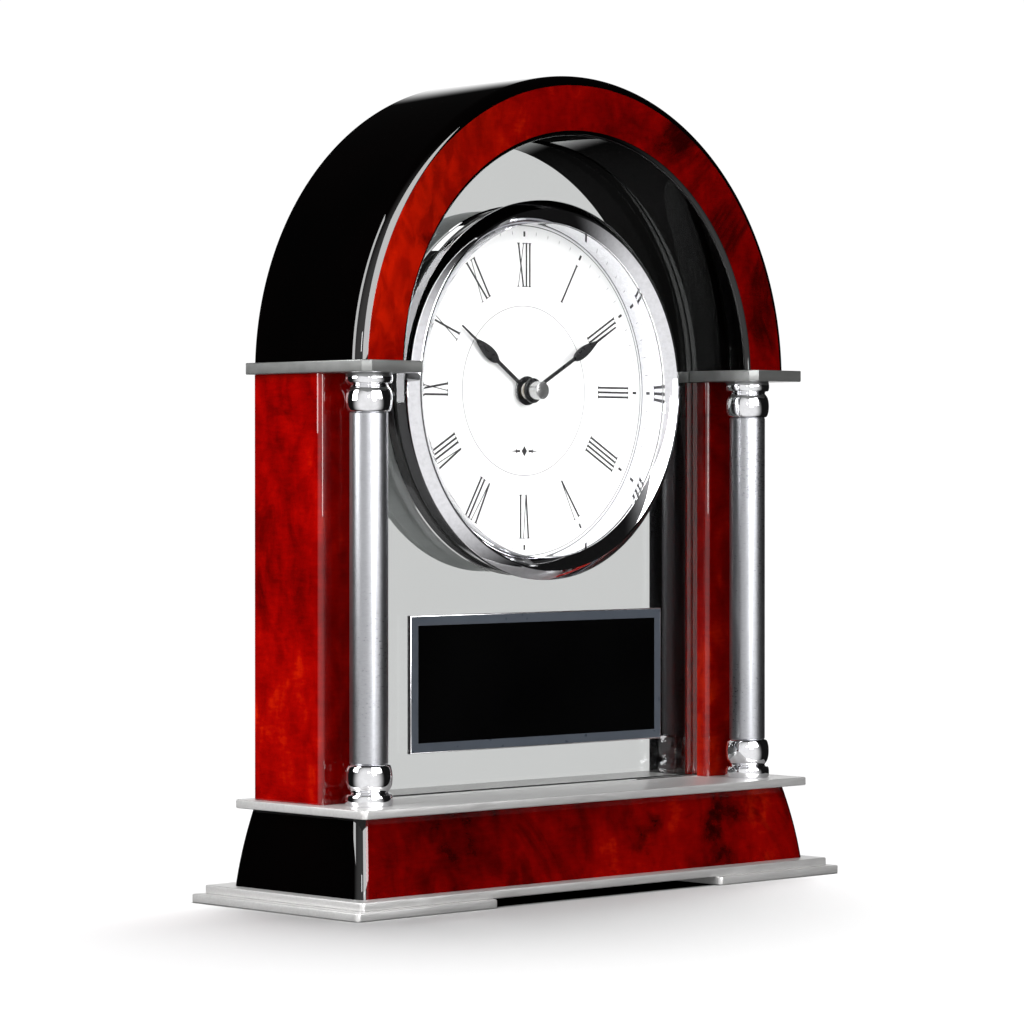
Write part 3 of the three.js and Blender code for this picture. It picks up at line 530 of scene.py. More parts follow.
def foot_screw(side, end):
    """A countersunk wood screw with a cross recess, seen from below."""
    b = span(f"foot_screw_{side}_{end}")
    radius = (b.x1 - b.x0) / 2
    arm, half = RECESS_ARM, RECESS_HALF
    cross = [(-arm, -half), (-half, -half), (-half, -arm), (half, -arm), (half, -half), (arm, -half)]
    cross += [(-u, -v) for u, v in cross]
    recess = [(b.x + u, b.y + v) for u, v in cross]
    cone, neck = (b.z0 + height for height in SCREW_CONE)
    bm = bmesh.new()
    slab(bm, circle(b.x, b.y, radius, 48), b.z0, b.z0 + RECESS_DEPTH, 0.12, holes=[recess])
    profile = [(0, cone), (radius - 0.2, cone), (SCREW_SHANK, neck), (SCREW_SHANK, b.z1), (0, b.z1)]
    lathe(bm, profile, "Z", x=b.x, y=b.y, segments=32)
    piece(f"foot_screw_head_{side}_{end}", bm, LOOKS["steel"], (f"foot_screw_{side}_{end}",))


for side, _ in SIDES:
    heads = [span(f"foot_screw_{side}_{end}") for end in ("front", "back")]
    holes = [circle(head.x, head.y, SCREW_HOLE, 40) for head in heads]
    plate(f"foot_plate_{side}", f"foot_{side}", PLATE_CORNER, holes)
    for end in ("front", "back"):
        foot_screw(side, end)

plate("base_plate_satin", "base_plate", PLATE_CORNER)
plate("middle_plate_satin", "mid_plate", MIDDLE_PLATE_CORNER)

# The plinth leans in, and more so towards its top. Its ends and its rounded corners are black, and
# its front and back are burl.
PLINTH_LEAN = 3.7
FRONT_LEAN = 4.4
BACK_LEAN = 3.4
PLINTH_CORNER = 3.2
END_FACE = 0.28
PLINTH_LEVELS = 14
PLINTH_CURVE = 0.38
PLINTH_CORNER_STEPS = 14


def plinth():
    b = span("plinth")
    bm = bmesh.new()
    rings = []
    for level in range(PLINTH_LEVELS + 1):
        t = level / PLINTH_LEVELS
        lean = (1 - PLINTH_CURVE) * t + PLINTH_CURVE * t * t
        outline = rectangle(b.x0 + PLINTH_LEAN * lean, b.x1 - PLINTH_LEAN * lean,
                            b.y0 + FRONT_LEAN * lean, b.y1 - BACK_LEAN * lean)
        loop = fillet(outline, PLINTH_CORNER, PLINTH_CORNER_STEPS)
        z = b.z0 + t * (b.z1 - b.z0)
        rings.append([bm.verts.new(Vector((u, v, z)) * MM) for u, v in loop])
    bridge(bm, rings)
    bm.faces.new(rings[0])
    bm.faces.new(rings[-1])
    bm.normal_update()
    piece("plinth_block", bm, [LOOKS["burl"], LOOKS["black"]], ("plinth",),
          pick=lambda face: int(abs(face.normal.x) > END_FACE))


plinth()

# ---------------- pillars and columns

PILLAR_CORNER = 1.6
GROOVE_CORNER = 0.3
GROOVE_GAP = 0.3
INNER_FACE = 0.4
glass = span("glass_panel")


def groove(edge):
    """The four corners of the glass's groove, cut outwards from an edge, from its back to its front."""
    depth = glass.x1 + GROOVE_GAP
    back, front = glass.y1 + GROOVE_GAP, glass.y0 - GROOVE_GAP
    return [(edge, back), (depth, back), (depth, front), (edge, front)]


def outward(b, sx):
    """A box's inner and outer X, as on the right side."""
    return (b.x0, b.x1) if sx > 0 else (-b.x1, -b.x0)


def pillar(side, sx):
    b = span(f"pillar_{side}")
    inner, outer = outward(b, sx)
    outline = [(inner, b.y0), (outer, b.y0), (outer, b.y1), (inner, b.y1)] + groove(inner)
    radii = [PILLAR_CORNER] * 4 + [GROOVE_CORNER, 0, 0, GROOVE_CORNER]
    bm = bmesh.new()
    slab(bm, [(sx * u, v) for u, v in fillet(outline, radii, 8)], b.z0, b.z1, 0.12, steps=1)
    bm.normal_update()

    def inward(face):
        behind = face.calc_center_median().y > glass.y0 * MM
        return int(face.normal.x * sx < -INNER_FACE and behind)

    piece(f"pillar_post_{side}", bm, [LOOKS["burl"], LOOKS["black"]],
          (f"pillar_{side}",), pick=inward)


BORE = 2.3
SHAFT_LIP = 0.25
RING_LIP = 0.5
RING_STEPS = 12
BASE_RING = 3.3
CAPITAL_RING = 2.9
NECK_SHARE = 0.8
NECK_HEIGHT = 0.8
BALL_STEPS = 20
BALL_RISE = 0.15
BALL_SHARE = 0.97


def column_end_profile(radius, length, ring):
    """From the plate outwards: a rounded ring, a narrow neck, and a ball that the shaft rests on."""
    ball = radius - 0.08
    neck = radius * NECK_SHARE
    foot = neck + 0.1
    flat = radius - RING_LIP
    profile = [(BORE, 0), (flat, 0)]
    for i in range(1, RING_STEPS):
        a = math.pi * i / RING_STEPS
        profile.append((flat + RING_LIP * math.sin(a), ring / 2 - ring / 2 * math.cos(a)))
    start = ring + NECK_HEIGHT
    profile += [(flat, ring), (neck + 0.3, ring + 0.12), (neck, ring + 0.45), (foot, start)]
    middle = (start + length) / 2 + BALL_RISE
    half = (length - start) / 2
    for i in range(1, BALL_STEPS):
        t = -1 + 2 * i / BALL_STEPS
        swell = max(0, 1 - t * t) ** 0.5
        profile.append((foot + (ball - foot) * swell, middle + t * half * BALL_SHARE))
    profile += [(foot, length), (BORE, length)]
    return profile


def column(side):
    base, shaft, head = (span(f"column_{part}_{side}") for part in ("base", "shaft", "capital"))
    radius = (base.x1 - base.x0) / 2
    for name, end, flip, ring in (("base", base, 1, BASE_RING), ("capital", head, -1, CAPITAL_RING)):
        start = end.z0 if flip > 0 else end.z1
        profile = [(r, start + flip * h) for r, h in column_end_profile(radius, end.z1 - end.z0, ring)]
        bm = bmesh.new()
        lathe(bm, closed(profile), "Z", x=base.x, y=base.y)
        piece(f"column_{name}_turned_{side}", bm, LOOKS["chrome"],
              (f"column_{name}_{side}",), sharp=40)
    r = (shaft.x1 - shaft.x0) / 2
    lip = SHAFT_LIP
    profile = [(BORE, shaft.z0), (r - lip, shaft.z0), (r, shaft.z0 + lip), (r, shaft.z1 - lip),
               (r - lip, shaft.z1), (BORE, shaft.z1)]
    bm = bmesh.new()
    lathe(bm, closed(profile), "Z", x=base.x, y=base.y)
    piece(f"column_shaft_brushed_{side}", bm, LOOKS["shaft"], (f"column_shaft_{side}",))


ABACUS_CHAMFER = 2.0
ABACUS_EDGE = 0.25


def abacus(side, sx):
    b = span(f"abacus_{side}")
    inner, outer = outward(b, sx)
    c = ABACUS_CHAMFER
    outline = [(inner, b.y0 + c), (inner + c, b.y0), (outer - c, b.y0), (outer, b.y0 + c),
               (outer, b.y1 - 1), (outer - 1, b.y1), (inner, b.y1)] + groove(inner)
    bm = bmesh.new()
    slab(bm, [(sx * u, v) for u, v in outline], b.z0, b.z1, ABACUS_EDGE)
    piece(f"abacus_plate_{side}", bm, LOOKS["abacus"], (f"abacus_{side}",))


for side, sx in SIDES:
    pillar(side, sx)
    column(side)
    abacus(side, sx)

# ---------------- arch and glass

ARCH_FRONT_EDGE = 3.4
ARCH_BACK_EDGE = 2.4
INTRADOS_EDGE = 1.6
ARCH_STEPS = 160
arch_box = span("arch")
ARCH_OUTER = arch_box.x1
ARCH_CENTRE = arch_box.z1 - ARCH_OUTER
ARCH_INNER = span("pillar_right").x0
ARCH_GROOVE_CORNER = 0.2
FLAT_FACE = 0.99
NEAR_FACE = 0.5


def arch():
    """The arch's section swept round its half circle and cut level at the abacus plates. Its flat front
    and back are burl, and the rest is black."""
    front, back = arch_box.y0, arch_box.y1
    section = [(ARCH_INNER, front), (ARCH_OUTER, front), (ARCH_OUTER, back), (ARCH_INNER, back)]
    section += groove(ARCH_INNER)
    radii = [INTRADOS_EDGE, ARCH_FRONT_EDGE, ARCH_BACK_EDGE, INTRADOS_EDGE,
             ARCH_GROOVE_CORNER, 0, 0, ARCH_GROOVE_CORNER]
    bm = bmesh.new()
    lathe(bm, closed(fillet(section, radii, 10)), "Y", z=ARCH_CENTRE, segments=ARCH_STEPS, end=180)
    bmesh.ops.remove_doubles(bm, verts=bm.verts, dist=WELD)
    bmesh.ops.bisect_plane(bm, geom=everything(bm), plane_co=(0, 0, arch_box.z0 * MM),
                           plane_no=(0, 0, -1), clear_outer=True)
    bmesh.ops.holes_fill(bm, edges=[e for e in bm.edges if e.is_boundary], sides=0)
    bm.normal_update()

    def veneered(face):
        y = face.calc_center_median().y / MM
        at_face = min(abs(y - front), abs(y - back)) < NEAR_FACE
        return int(abs(face.normal.y) > FLAT_FACE and at_face)

    piece("arch_ring", bm, [LOOKS["black"], LOOKS["burl"]], ("arch",), pick=veneered)


arch()

GLASS_HOLE = 53
GLASS_CHAMFER = 0.3
dial_box = span("dial")
DIAL_Z = dial_box.z


def glass_panel():
    half = glass.x1
    outline = [(-half, glass.z0), (half, glass.z0)] + arc(0, ARCH_CENTRE, half, 0, 180, 96)
    bm = bmesh.new()
    slab(bm, outline, glass.y0, glass.y1, GLASS_CHAMFER, place=face_on, steps=1,
         holes=[circle(0, DIAL_Z, GLASS_HOLE, 128)])
    pane = piece("glass_pane", bm, LOOKS["glass"], ("glass_panel",))
    pane.visible_shadow = False


glass_panel()

# ---------------- plaque

PLAQUE_BORDER = 2.5
PLAQUE_RIM = 0.35
# The tape stops just short of the glass, so that the two faces do not lie in one plane.
TAPE_GAP = 0.06


def plaque():
    """An engraving plate with a bright rim, a grey border and a blank black field, on its tape. Each
    layer stands a few hundredths proud of the one before."""
    b = span("plaque")
    whole = rectangle(b.x0, b.x1, b.z0, b.z1)
    bm = bmesh.new()
    slab(bm, whole, b.y0 + 0.05, b.y1, PLAQUE_RIM, place=face_on)
    piece("plaque_plate", bm, LOOKS["plate_rim"], ("plaque",))
    inner = inset(whole, PLAQUE_RIM + PLAQUE_BORDER)
    bm = bmesh.new()
    slab(bm, inset(whole, PLAQUE_RIM), b.y0 + 0.02, b.y0 + 0.1, 0.05, place=face_on, steps=1,
         holes=[inner])
    piece("plaque_grey_border", bm, LOOKS["border"])
    bm = bmesh.new()
    slab(bm, inner, b.y0, b.y0 + 0.1, 0.04, place=face_on, steps=1)
    piece("plaque_black_field", bm, LOOKS["plaque"])
    tape = span("plaque_tape")
    bm = bmesh.new()
    slab(bm, rectangle(tape.x0, tape.x1, tape.z0, tape.z1), tape.y0, tape.y1 - TAPE_GAP, 0.1,
         place=face_on, steps=1)
    piece("plaque_foam_tape", bm, LOOKS["tape"], ("plaque_tape",))


plaque()

# ---------------- clock insert

bezel_box = span("bezel")
drum_box = span("case_drum")
lens_box = span("lens")
reflector = span("reflector_ring")
INNER_RADIUS = 48.0
DRUM_WALL = 0.8
GASKET_INNER, GASKET_OUTER, GASKET_FLANGE = 52.5, 52.8, 0.7
DIAL_HOLE = 3.3
FINE = 256


def turned(name, profile, look, node, body="frame", sharp=32, segments=FINE):
    """A piece turned about the dial's own axis."""
    bm = bmesh.new()
    lathe(bm, profile, "Y", z=DIAL_Z, segments=segments)
    return piece(name, bm, LOOKS[look], (node,), body=body, sharp=sharp)


def round_lens():
    b = lens_box
    r, edge = b.x1, 0.2
    profile = [(0, b.y0), (r - edge, b.y0), (r, b.y0 + edge),
               (r, b.y1 - edge), (r - edge, b.y1), (0, b.y1)]
    turned("lens_cover", profile, "lens", "lens").visible_shadow = False


def round_bezel():
    """A ring that rises from the lens to a rounded crest and slopes out to a rounded rim."""
    rim, crest, back = bezel_box.x1, bezel_box.y0, bezel_box.y1
    seat = lens_box.y0
    side = span("case_gasket").x1
    profile = [
        (INNER_RADIUS, seat + 0.1), (INNER_RADIUS, seat - 0.25), (INNER_RADIUS + 0.15, seat - 0.45),
        (rim - 3.5, crest + 0.16), (rim - 3.3, crest + 0.03), (rim - 3.0, crest),
        (rim - 2.7, crest + 0.08), (rim - 2.45, crest + 0.3),
        (rim - 0.25, crest + 2.2), (rim - 0.05, crest + 2.45), (rim, crest + 2.8),
        (rim, crest + 3.5), (rim - 0.12, crest + 3.9), (side + 0.1, back - 0.3), (side, back),
        (drum_box.x1 - DRUM_WALL, back), (reflector.x1 + 0.3, back), (reflector.x1 + 0.3, seat + 0.1),
    ]
    turned("bezel_ring", closed(profile), "bezel_chrome", "bezel", sharp=24)


def rehaut():
    """The bright inner wall between the dial and the lens."""
    b = reflector
    profile = [(INNER_RADIUS, b.y0), (b.x1, b.y0), (b.x1, b.y1), (INNER_RADIUS, b.y1)]
    turned("inner_mirror_ring", closed(profile), "bezel_chrome", "reflector_ring")


def drum():
    """Drawn metal cup with a rolled rear lip and one shallow bead."""
    b = drum_box
    r = b.x1
    bead = [(r - 0.18 * math.sin(math.pi * i / 8), b.y1 - 3.4 + 1.2 * i / 8) for i in range(9)]
    profile = [(r - DRUM_WALL, b.y0), (r, b.y0), (r, b.y1 - 3.6)] + bead
    profile += [(r, b.y1 - 0.4), (r - 0.15, b.y1 - 0.1), (r - 0.4, b.y1), (r - DRUM_WALL, b.y1 - 0.15)]
    turned("case_drum_shell", closed(profile), "drum", "case_drum")


def gasket():
    b = span("case_gasket")
    inner, outer, flange = GASKET_INNER, GASKET_OUTER, b.y0 + GASKET_FLANGE
    profile = [(inner, b.y0), (b.x1 - 0.2, b.y0), (b.x1, b.y0 + 0.2), (b.x1, flange), (outer, flange),
               (outer, b.y1), (inner, b.y1)]
    turned("gasket_sleeve", closed(profile), "rubber", "case_gasket")


def dial():
    b = dial_box
    r, hole = b.x1, DIAL_HOLE
    profile = [(hole, b.y0), (r - 0.1, b.y0), (r, b.y0 + 0.1), (r, b.y1), (hole, b.y1)]
    turned("dial_plate", closed(profile), "dial", "dial")


# Roman numerals stand with their feet towards the centre. A letter has a width and its strokes, and a
# stroke is a slanted bar, given by the middles of its foot and its head and by its thickness.
NUMERAL_FOOT = 29.9
NUMERAL_HEAD = 42.6
THICK, THIN = 0.62, 0.27
SERIF = 0.42
SERIF_SHARE = {THICK: 0.55, THIN: 0.8}
SERIF_HEIGHT = 0.26
PRINT_THICKNESS = 0.03
PRINT_SUNK = 0.01
TICK_OUTER = 45.9
HOUR_TICK_INNER, HOUR_TICK_WIDTH = 44.4, 0.75
MINUTE_TICK_INNER, MINUTE_TICK_WIDTH = 45.0, 0.14
DIAL_RINGS = ((24.4, 0.17), (47.55, 0.25))

GLYPHS = {
    "I": (1.36, [(0.0, 0.0, THICK)]),
    "V": (3.0, [(0.0, -0.95, THICK), (0.08, 1.0, THIN)]),
    "X": (3.0, [(1.0, -1.0, THICK), (-1.05, 1.05, THIN)]),
}
NUMERALS = ["XII", "I", "II", "III", "IIII", "V", "VI", "VII", "VIII", "IX", "X", "XI"]


def radial(point, angle):
    """A point given across and outwards from the dial's centre, turned clockwise by the angle."""
    across, out = point
    c, s = math.cos(angle), math.sin(angle)
    return (across * c + out * s, DIAL_Z - across * s + out * c)


def ink(bm, outline, angle=0.0):
    """A printed shape, drawn with the dial's centre at the origin."""
    top = dial_box.y0
    shape = [radial(p, angle) for p in outline]
    slab(bm, shape, top - PRINT_THICKNESS, top + PRINT_SUNK, 0, place=face_on)


def bar(x0, y0, x1, y1, width):
    """A bar whose ends are level, as a printed stroke's are."""
    h = width / 2
    return [(x0 - h, y0), (x0 + h, y0), (x1 + h, y1), (x1 - h, y1)]


def numeral(bm, text, angle):
    widths = [GLYPHS[letter][0] for letter in text]
    x = -sum(widths) / 2
    for letter, width in zip(text, widths):
        middle = x + width / 2
        for foot, head, weight in GLYPHS[letter][1]:
            ink(bm, bar(middle + foot, NUMERAL_FOOT, middle + head, NUMERAL_HEAD, weight), angle)
            serifs = [(head, NUMERAL_HEAD, -SERIF_HEIGHT)]
            if letter != "V":
                serifs.insert(0, (foot, NUMERAL_FOOT, SERIF_HEIGHT))
            for at, level, up in serifs:
                half = weight / 2 + SERIF * SERIF_SHARE[weight]
                left, right = middle + at - half, middle + at + half
                ink(bm, rectangle(left, right, level, level + up), angle)
        x += width


def dial_print():
    bm = bmesh.new()
    for hour, text in enumerate(NUMERALS):
        angle = TAU * hour / 12
        numeral(bm, text, angle)
        ink(bm, bar(0, HOUR_TICK_INNER, 0, TICK_OUTER, HOUR_TICK_WIDTH), angle)
    ornament(bm)
    piece("dial_numerals", bm, LOOKS["print"])
    bm = bmesh.new()
    for minute in range(60):
        if minute % 5:
            tick = bar(0, MINUTE_TICK_INNER, 0, TICK_OUTER, MINUTE_TICK_WIDTH)
            ink(bm, tick, TAU * minute / 60)
    over, under = dial_box.y0 - PRINT_THICKNESS, dial_box.y0 + PRINT_SUNK
    for radius, width in DIAL_RINGS:
        ring = rectangle(radius - width / 2, radius + width / 2, over, under)
        lathe(bm, closed(ring), "Y", z=DIAL_Z, segments=FINE)
    piece("dial_minute_track", bm, LOOKS["faint"])


ORNAMENT_DROP = 17.4


def ornament(bm):
    """A small lozenge between two tapering rules with a smaller lozenge on each, below the centre."""
    level = -ORNAMENT_DROP
    ink(bm, [(0, level - 1.5), (1.05, level), (0, level + 1.5), (-1.05, level)])
    for sign in (-1, 1):
        ink(bm, [(sign * 1.7, level - 0.36), (sign * 5.6, level), (sign * 1.7, level + 0.36)])
        ink(bm, [(sign * 3.1, level - 0.75), (sign * 3.5, level), (sign * 3.1, level + 0.75),
                 (sign * 2.7, level)])


def pointing(node):
    """The clockwise angle from twelve at which a hand points and its length, from its farthest corner."""
    corners = [v.co for v in frame["nodes"][node].data.vertices]
    far = max(corners, key=lambda c: c.x ** 2 + (c.z - DIAL_Z * MM) ** 2)
    length = math.hypot(far.x, far.z - DIAL_Z * MM) / MM
    return math.atan2(far.x, far.z - DIAL_Z * MM), length


HAND_STEM = 0.55
HAND_TIP = 0.22
HAND_TAPER = 0.35
LEAF_STEPS = 16
NUT_BORE = 1.4
NUT_ROOF = 0.85


def hand(name, node, body, hub, hole, leaf_start, leaf_end, leaf_half):
    """A slender hand with a leaf, its edges slightly rounded."""
    b = span(node)
    angle, reach = pointing(node)
    right = [(HAND_STEM, hub * 0.98), (HAND_STEM, leaf_start)]
    for i in range(1, LEAF_STEPS + 1):
        t = i / LEAF_STEPS
        swell = math.sin(math.pi * t ** 0.72) ** 0.9
        half = HAND_STEM * (1 - HAND_TAPER * t) + (leaf_half - HAND_STEM) * swell
        right.append((half, leaf_start + t * (leaf_end - leaf_start)))
    right += [(HAND_TIP, reach - 0.15), (HAND_TIP * 0.5, reach)]
    outline = right + [(-u, v) for u, v in reversed(right)]
    start = math.degrees(math.asin(HAND_STEM / hub))
    outline += arc(0, 0, hub, 90 + start, 450 - start, 48)[1:-1]
    pointed = [radial(p, angle) for p in anticlockwise(outline)]
    bm = bmesh.new()
    slab(bm, pointed, b.y0, b.y1, 0.08, place=face_on, steps=2, holes=[circle(0, DIAL_Z, hole, 40)])
    piece(name, bm, LOOKS["hand"], (node,), body=body)


def hand_nut():
    b = span("hand_nut")
    r, roof = b.x1, b.y0 + NUT_ROOF
    profile = [(0, b.y0), (r - 0.5, b.y0), (r - 0.15, b.y0 + 0.12), (r, b.y0 + 0.45), (r, b.y1 - 0.2),
               (r - 0.2, b.y1), (NUT_BORE, b.y1), (NUT_BORE, roof), (0, roof)]
    turned("hand_nut_turned", profile, "steel", "hand_nut", body="minute_work", segments=64)


round_lens()
round_bezel()
rehaut()
drum()
gasket()
dial()
dial_print()
hand("hour_hand_leaf", "hour_hand", "hour_work", 4.2, 2.5, 14.2, 24.5, 1.9)
hand("minute_hand_leaf", "minute_hand", "minute_work", 3.6, 1.4, 19.0, 29.5, 1.75)
hand_nut()

# ---------------- back of the insert

MOVEMENT_CORNER = 2.5
CASE_WALL = 1.4
COVER_THICKNESS = 1.2
BAY_INSET = 1.7
BAY_TOP = 11.2
KNOB_RING = (6.0, 6.5)
CLIP_X, CLIP_RISE, CLIP_HEIGHT = 18, 22.6, 1.0
PAD = (4, 22, -6, 12)
FLUTES, FLUTE_POINTS, FLUTE_DEPTH = 24, 6, 0.34
CELL_NUB = 1.2
CELL_BAND = 14
CELL_STEPS = 64


def case_back():
    b = span("case_back")
    half = span("movement_case_rear").x1 + 0.5
    window = fillet(rectangle(-half, half, DIAL_Z - half, DIAL_Z + half), MOVEMENT_CORNER, 6)
    bm = bmesh.new()
    slab(bm, circle(0, DIAL_Z, b.x1, FINE // 2), b.y0, b.y1, 0.25, place=face_on, steps=2,
         holes=[window])
    piece("case_back_disc", bm, LOOKS["moulded"], ("case_back",))


def movement_rear():
    """The rear half of the movement case: an open cell bay, a ring and a raised pad round the knob, and
    two clips."""
    b = span("movement_case_rear")
    half = b.x1
    outline = fillet(rectangle(-half, half, DIAL_Z - half, DIAL_Z + half), MOVEMENT_CORNER, 8)
    bay_half = half - BAY_INSET
    bay = rectangle(-bay_half, bay_half, DIAL_Z - bay_half, DIAL_Z - BAY_TOP)
    stem = span("set_knob")
    inner, outer = KNOB_RING
    back = b.y1
    bm = bmesh.new()
    slab(bm, outline, back - COVER_THICKNESS, back, 0.4, place=face_on,
         holes=[fillet(bay, 0.8, 4), circle(stem.x, stem.z, 1.0, 24)])
    slab(bm, outline, b.y0, back - COVER_THICKNESS + 0.1, 0, place=face_on,
         holes=[inset(outline, CASE_WALL)])
    ring = [(inner, back - 0.2), (inner, back + 0.25), (outer, back + 0.25), (outer, back - 0.2)]
    lathe(bm, closed(ring), "Y", x=stem.x, z=stem.z, segments=64)
    for x in (-CLIP_X, CLIP_X):
        bottom = DIAL_Z + CLIP_RISE
        clip = fillet(rectangle(x - 3, x + 3, bottom, bottom + CLIP_HEIGHT), 0.45, 4)
        slab(bm, clip, back - 0.2, back + 0.2, 0.08, place=face_on, steps=1)
    x0, x1, z0, z1 = PAD
    pad = fillet(rectangle(x0, x1, DIAL_Z + z0, DIAL_Z + z1), 1.2, 5)
    slab(bm, pad, back - 0.2, back + 0.12, 0.06, place=face_on, steps=1)
    piece("movement_rear_shell", bm, LOOKS["moulded"], ("movement_case_rear",))


def knob():
    b = span("set_knob")
    radius = (b.x1 - b.x0) / 2
    outline = []
    for i in range(FLUTES * FLUTE_POINTS):
        a = TAU * i / (FLUTES * FLUTE_POINTS)
        r = radius - FLUTE_DEPTH * max(0.0, math.cos(a * FLUTES)) ** 2
        outline.append((b.x + r * math.cos(a), b.z + r * math.sin(a)))
    bm = bmesh.new()
    slab(bm, outline, b.y0, b.y1, 0.35, place=face_on)
    piece("set_knob_fluted", bm, LOOKS["moulded"], ("set_knob",), body="setting_work")


def battery():
    """An AA cell on its side, with a gold band towards its positive end."""
    b = span("battery")
    radius = (b.z1 - b.z0) / 2
    end = b.x1 - CELL_NUB
    profile = [(0, b.x0), (4.6, b.x0), (4.8, b.x0 + 0.25), (radius - 0.7, b.x0 + 0.25),
               (radius - 0.1, b.x0 + 0.1), (radius, b.x0 + 0.6), (radius, end - 0.7),
               (radius - 0.25, end - 0.15), (radius - 0.9, end), (3.4, end), (2.9, end + 0.1),
               (2.65, end + 0.3), (2.65, b.x1 - 0.3), (2.3, b.x1), (0, b.x1)]
    bm = bmesh.new()
    lathe(bm, profile, "X", y=b.y, z=b.z, segments=CELL_STEPS)
    band = (b.x1 - CELL_BAND) * MM
    bmesh.ops.bisect_plane(bm, geom=everything(bm), plane_co=(band, 0, 0), plane_no=(1, 0, 0))

    def colour(face):
        """0 for the jacket, 1 for the band and 2 for the bare metal ends."""
        x = face.calc_center_median().x
        if x > (end - 0.8) * MM or x < (b.x0 + 0.5) * MM:
            return 2
        return int(x > band)

    piece("battery_cell", bm, [LOOKS["cell"], LOOKS["cell_band"], LOOKS["steel"]],
          ("battery",), pick=colour)


case_back()
movement_rear()
knob()
battery()

# ---------------- hidden CAD pieces get their finish

KEPT = {
    "steel": ["pillar_screw_left", "pillar_screw_right", "tie_rod_left", "tie_rod_right", "rotor",
              "stator", "quartz_crystal", "dial_nut"],
    "brass": ["minute_arbor", "centre_wheel", "third_wheel", "fourth_wheel", "step_wheel",
              "contact_positive", "contact_negative"],
    "dowel": ["pillar_dowel_left", "pillar_dowel_right"],
    "white_plastic": ["hour_wheel", "minute_wheel"],
    "copper": ["coil"],
    "board": ["circuit_board"],
    "moulded": ["movement_case_front"],
}
for look, nodes in KEPT.items():
    for node in nodes:
        for holder in frame["nodes"][node].material_slots:
            holder.material = LOOKS[look]

# ---------------- floor, light and camera

FLOOR_RADIUS = 0.62
FLOOR_FADE = (0.15, 0.45)
FLOOR_TONES = [(NOISE_LOW, (0.79, 0.79, 0.795)), (NOISE_HIGH, (0.81, 0.81, 0.81))]
CONTACT_SHADOW_REACH = 0.008
CONTACT_SHADOW_RANGE = (0.3, 0.75)


def floor():
    """A pale disc that fades into the studio's white, with a painted contact shadow where something stands
    just above it.
    """
    bm = bmesh.new()
    bmesh.ops.create_circle(bm, cap_ends=True, segments=128, radius=FLOOR_RADIUS)
    mesh = bpy.data.meshes.new("studio_floor")
    bm.to_mesh(mesh)
    bm.free()
    obj = bpy.data.objects.new("studio_floor", mesh)
    bpy.context.scene.collection.objects.link(obj)
    look = Look("studio_floor_white").set(Roughness=0.8, Specular_IOR_Level=0.0)
    pale = look.ramp(look.noise(3, 2, 0.5), FLOOR_TONES)
    # Painted shadow: ambient occlusion darkens the floor's colour under and beside the clock.
    contact = look.tree.nodes.new("ShaderNodeAmbientOcclusion")
    contact.inputs["Distance"].default_value = CONTACT_SHADOW_REACH
    open_sky = look.remap(contact.outputs["AO"], 0.0, 1.0, *CONTACT_SHADOW_RANGE)
    look.link(look.mix(open_sky, (0.0, 0.0, 0.0), pale), "Base Color")
    distance = look.tree.nodes.new("ShaderNodeVectorMath")
    distance.operation = "LENGTH"
    look.tree.links.new(look.coords, distance.inputs[0])
    solid = map_range(look.tree, distance.outputs["Value"], *FLOOR_FADE, 1.0, 0.0, "SMOOTHSTEP")
    look.link(solid, "Alpha")
    mesh.materials.append(look.material)
    obj.visible_glossy = False
    obj.visible_transmission = False
    return obj


def softbox(name, azimuth, distance, size, power, height, diffuse=True, glossy=True):
    """An upright area light that faces the clock, for mirrors only or for matt surfaces only."""
    light = bpy.data.lights.new(name, "AREA")
    light.shape = "RECTANGLE"
    light.size, light.size_y = size
    light.energy = power
    obj = bpy.data.objects.new(name, light)
    bpy.context.scene.collection.objects.link(obj)
    a = math.radians(azimuth)
    obj.location = (distance * math.cos(a), distance * math.sin(a), height)
    aim = Vector((0, 0, height)) - obj.location
    obj.rotation_euler = aim.to_track_quat("-Z", "Y").to_euler()
    obj.visible_camera = False
    obj.visible_transmission = diffuse
    obj.visible_diffuse = diffuse
    obj.visible_glossy = glossy
    obj.light_linking.receiver_collection = all_but_floor


def sky_light(name, strength, softness, direction, receivers):
    """A very soft light from above and a little behind, for one group of objects."""
    light = bpy.data.lights.new(name, "SUN")
    light.energy = strength
    light.angle = math.radians(softness)
    obj = bpy.data.objects.new(name, light)
    bpy.context.scene.collection.objects.link(obj)
    obj.rotation_euler = Vector(direction).to_track_quat("-Z", "Y").to_euler()
    obj.visible_glossy = False
    obj.light_linking.receiver_collection = receivers


def group(name, members, state):
    """A named set of objects for a light to reach ("INCLUDE") or to leave out ("EXCLUDE")."""
    chosen = bpy.data.collections.new(name)
    for member in members:
        chosen.objects.link(member)
    for entry in chosen.collection_objects:
        entry.light_linking.link_state = state
    return chosen


# Levels of the studio's surroundings, and the pale patches that mirrors see in it: their level, where
# their soft edge starts and ends in degrees, and which way they lie.
WHITE = 1.03
AMBIENT = 0.36
DARK_STUDIO = 0.008
CAMERA_SIDE = 1.0
CAMERA_SIDE_FADE = (32, 84)
CAMERA_SIDE_DIRECTION = (-0.69, -0.72, -0.3)
BACKDROP = 1.2
BACKDROP_FADE = (8, 24)
BACKDROP_DIRECTION = (0.69, 0.72, 0.03)


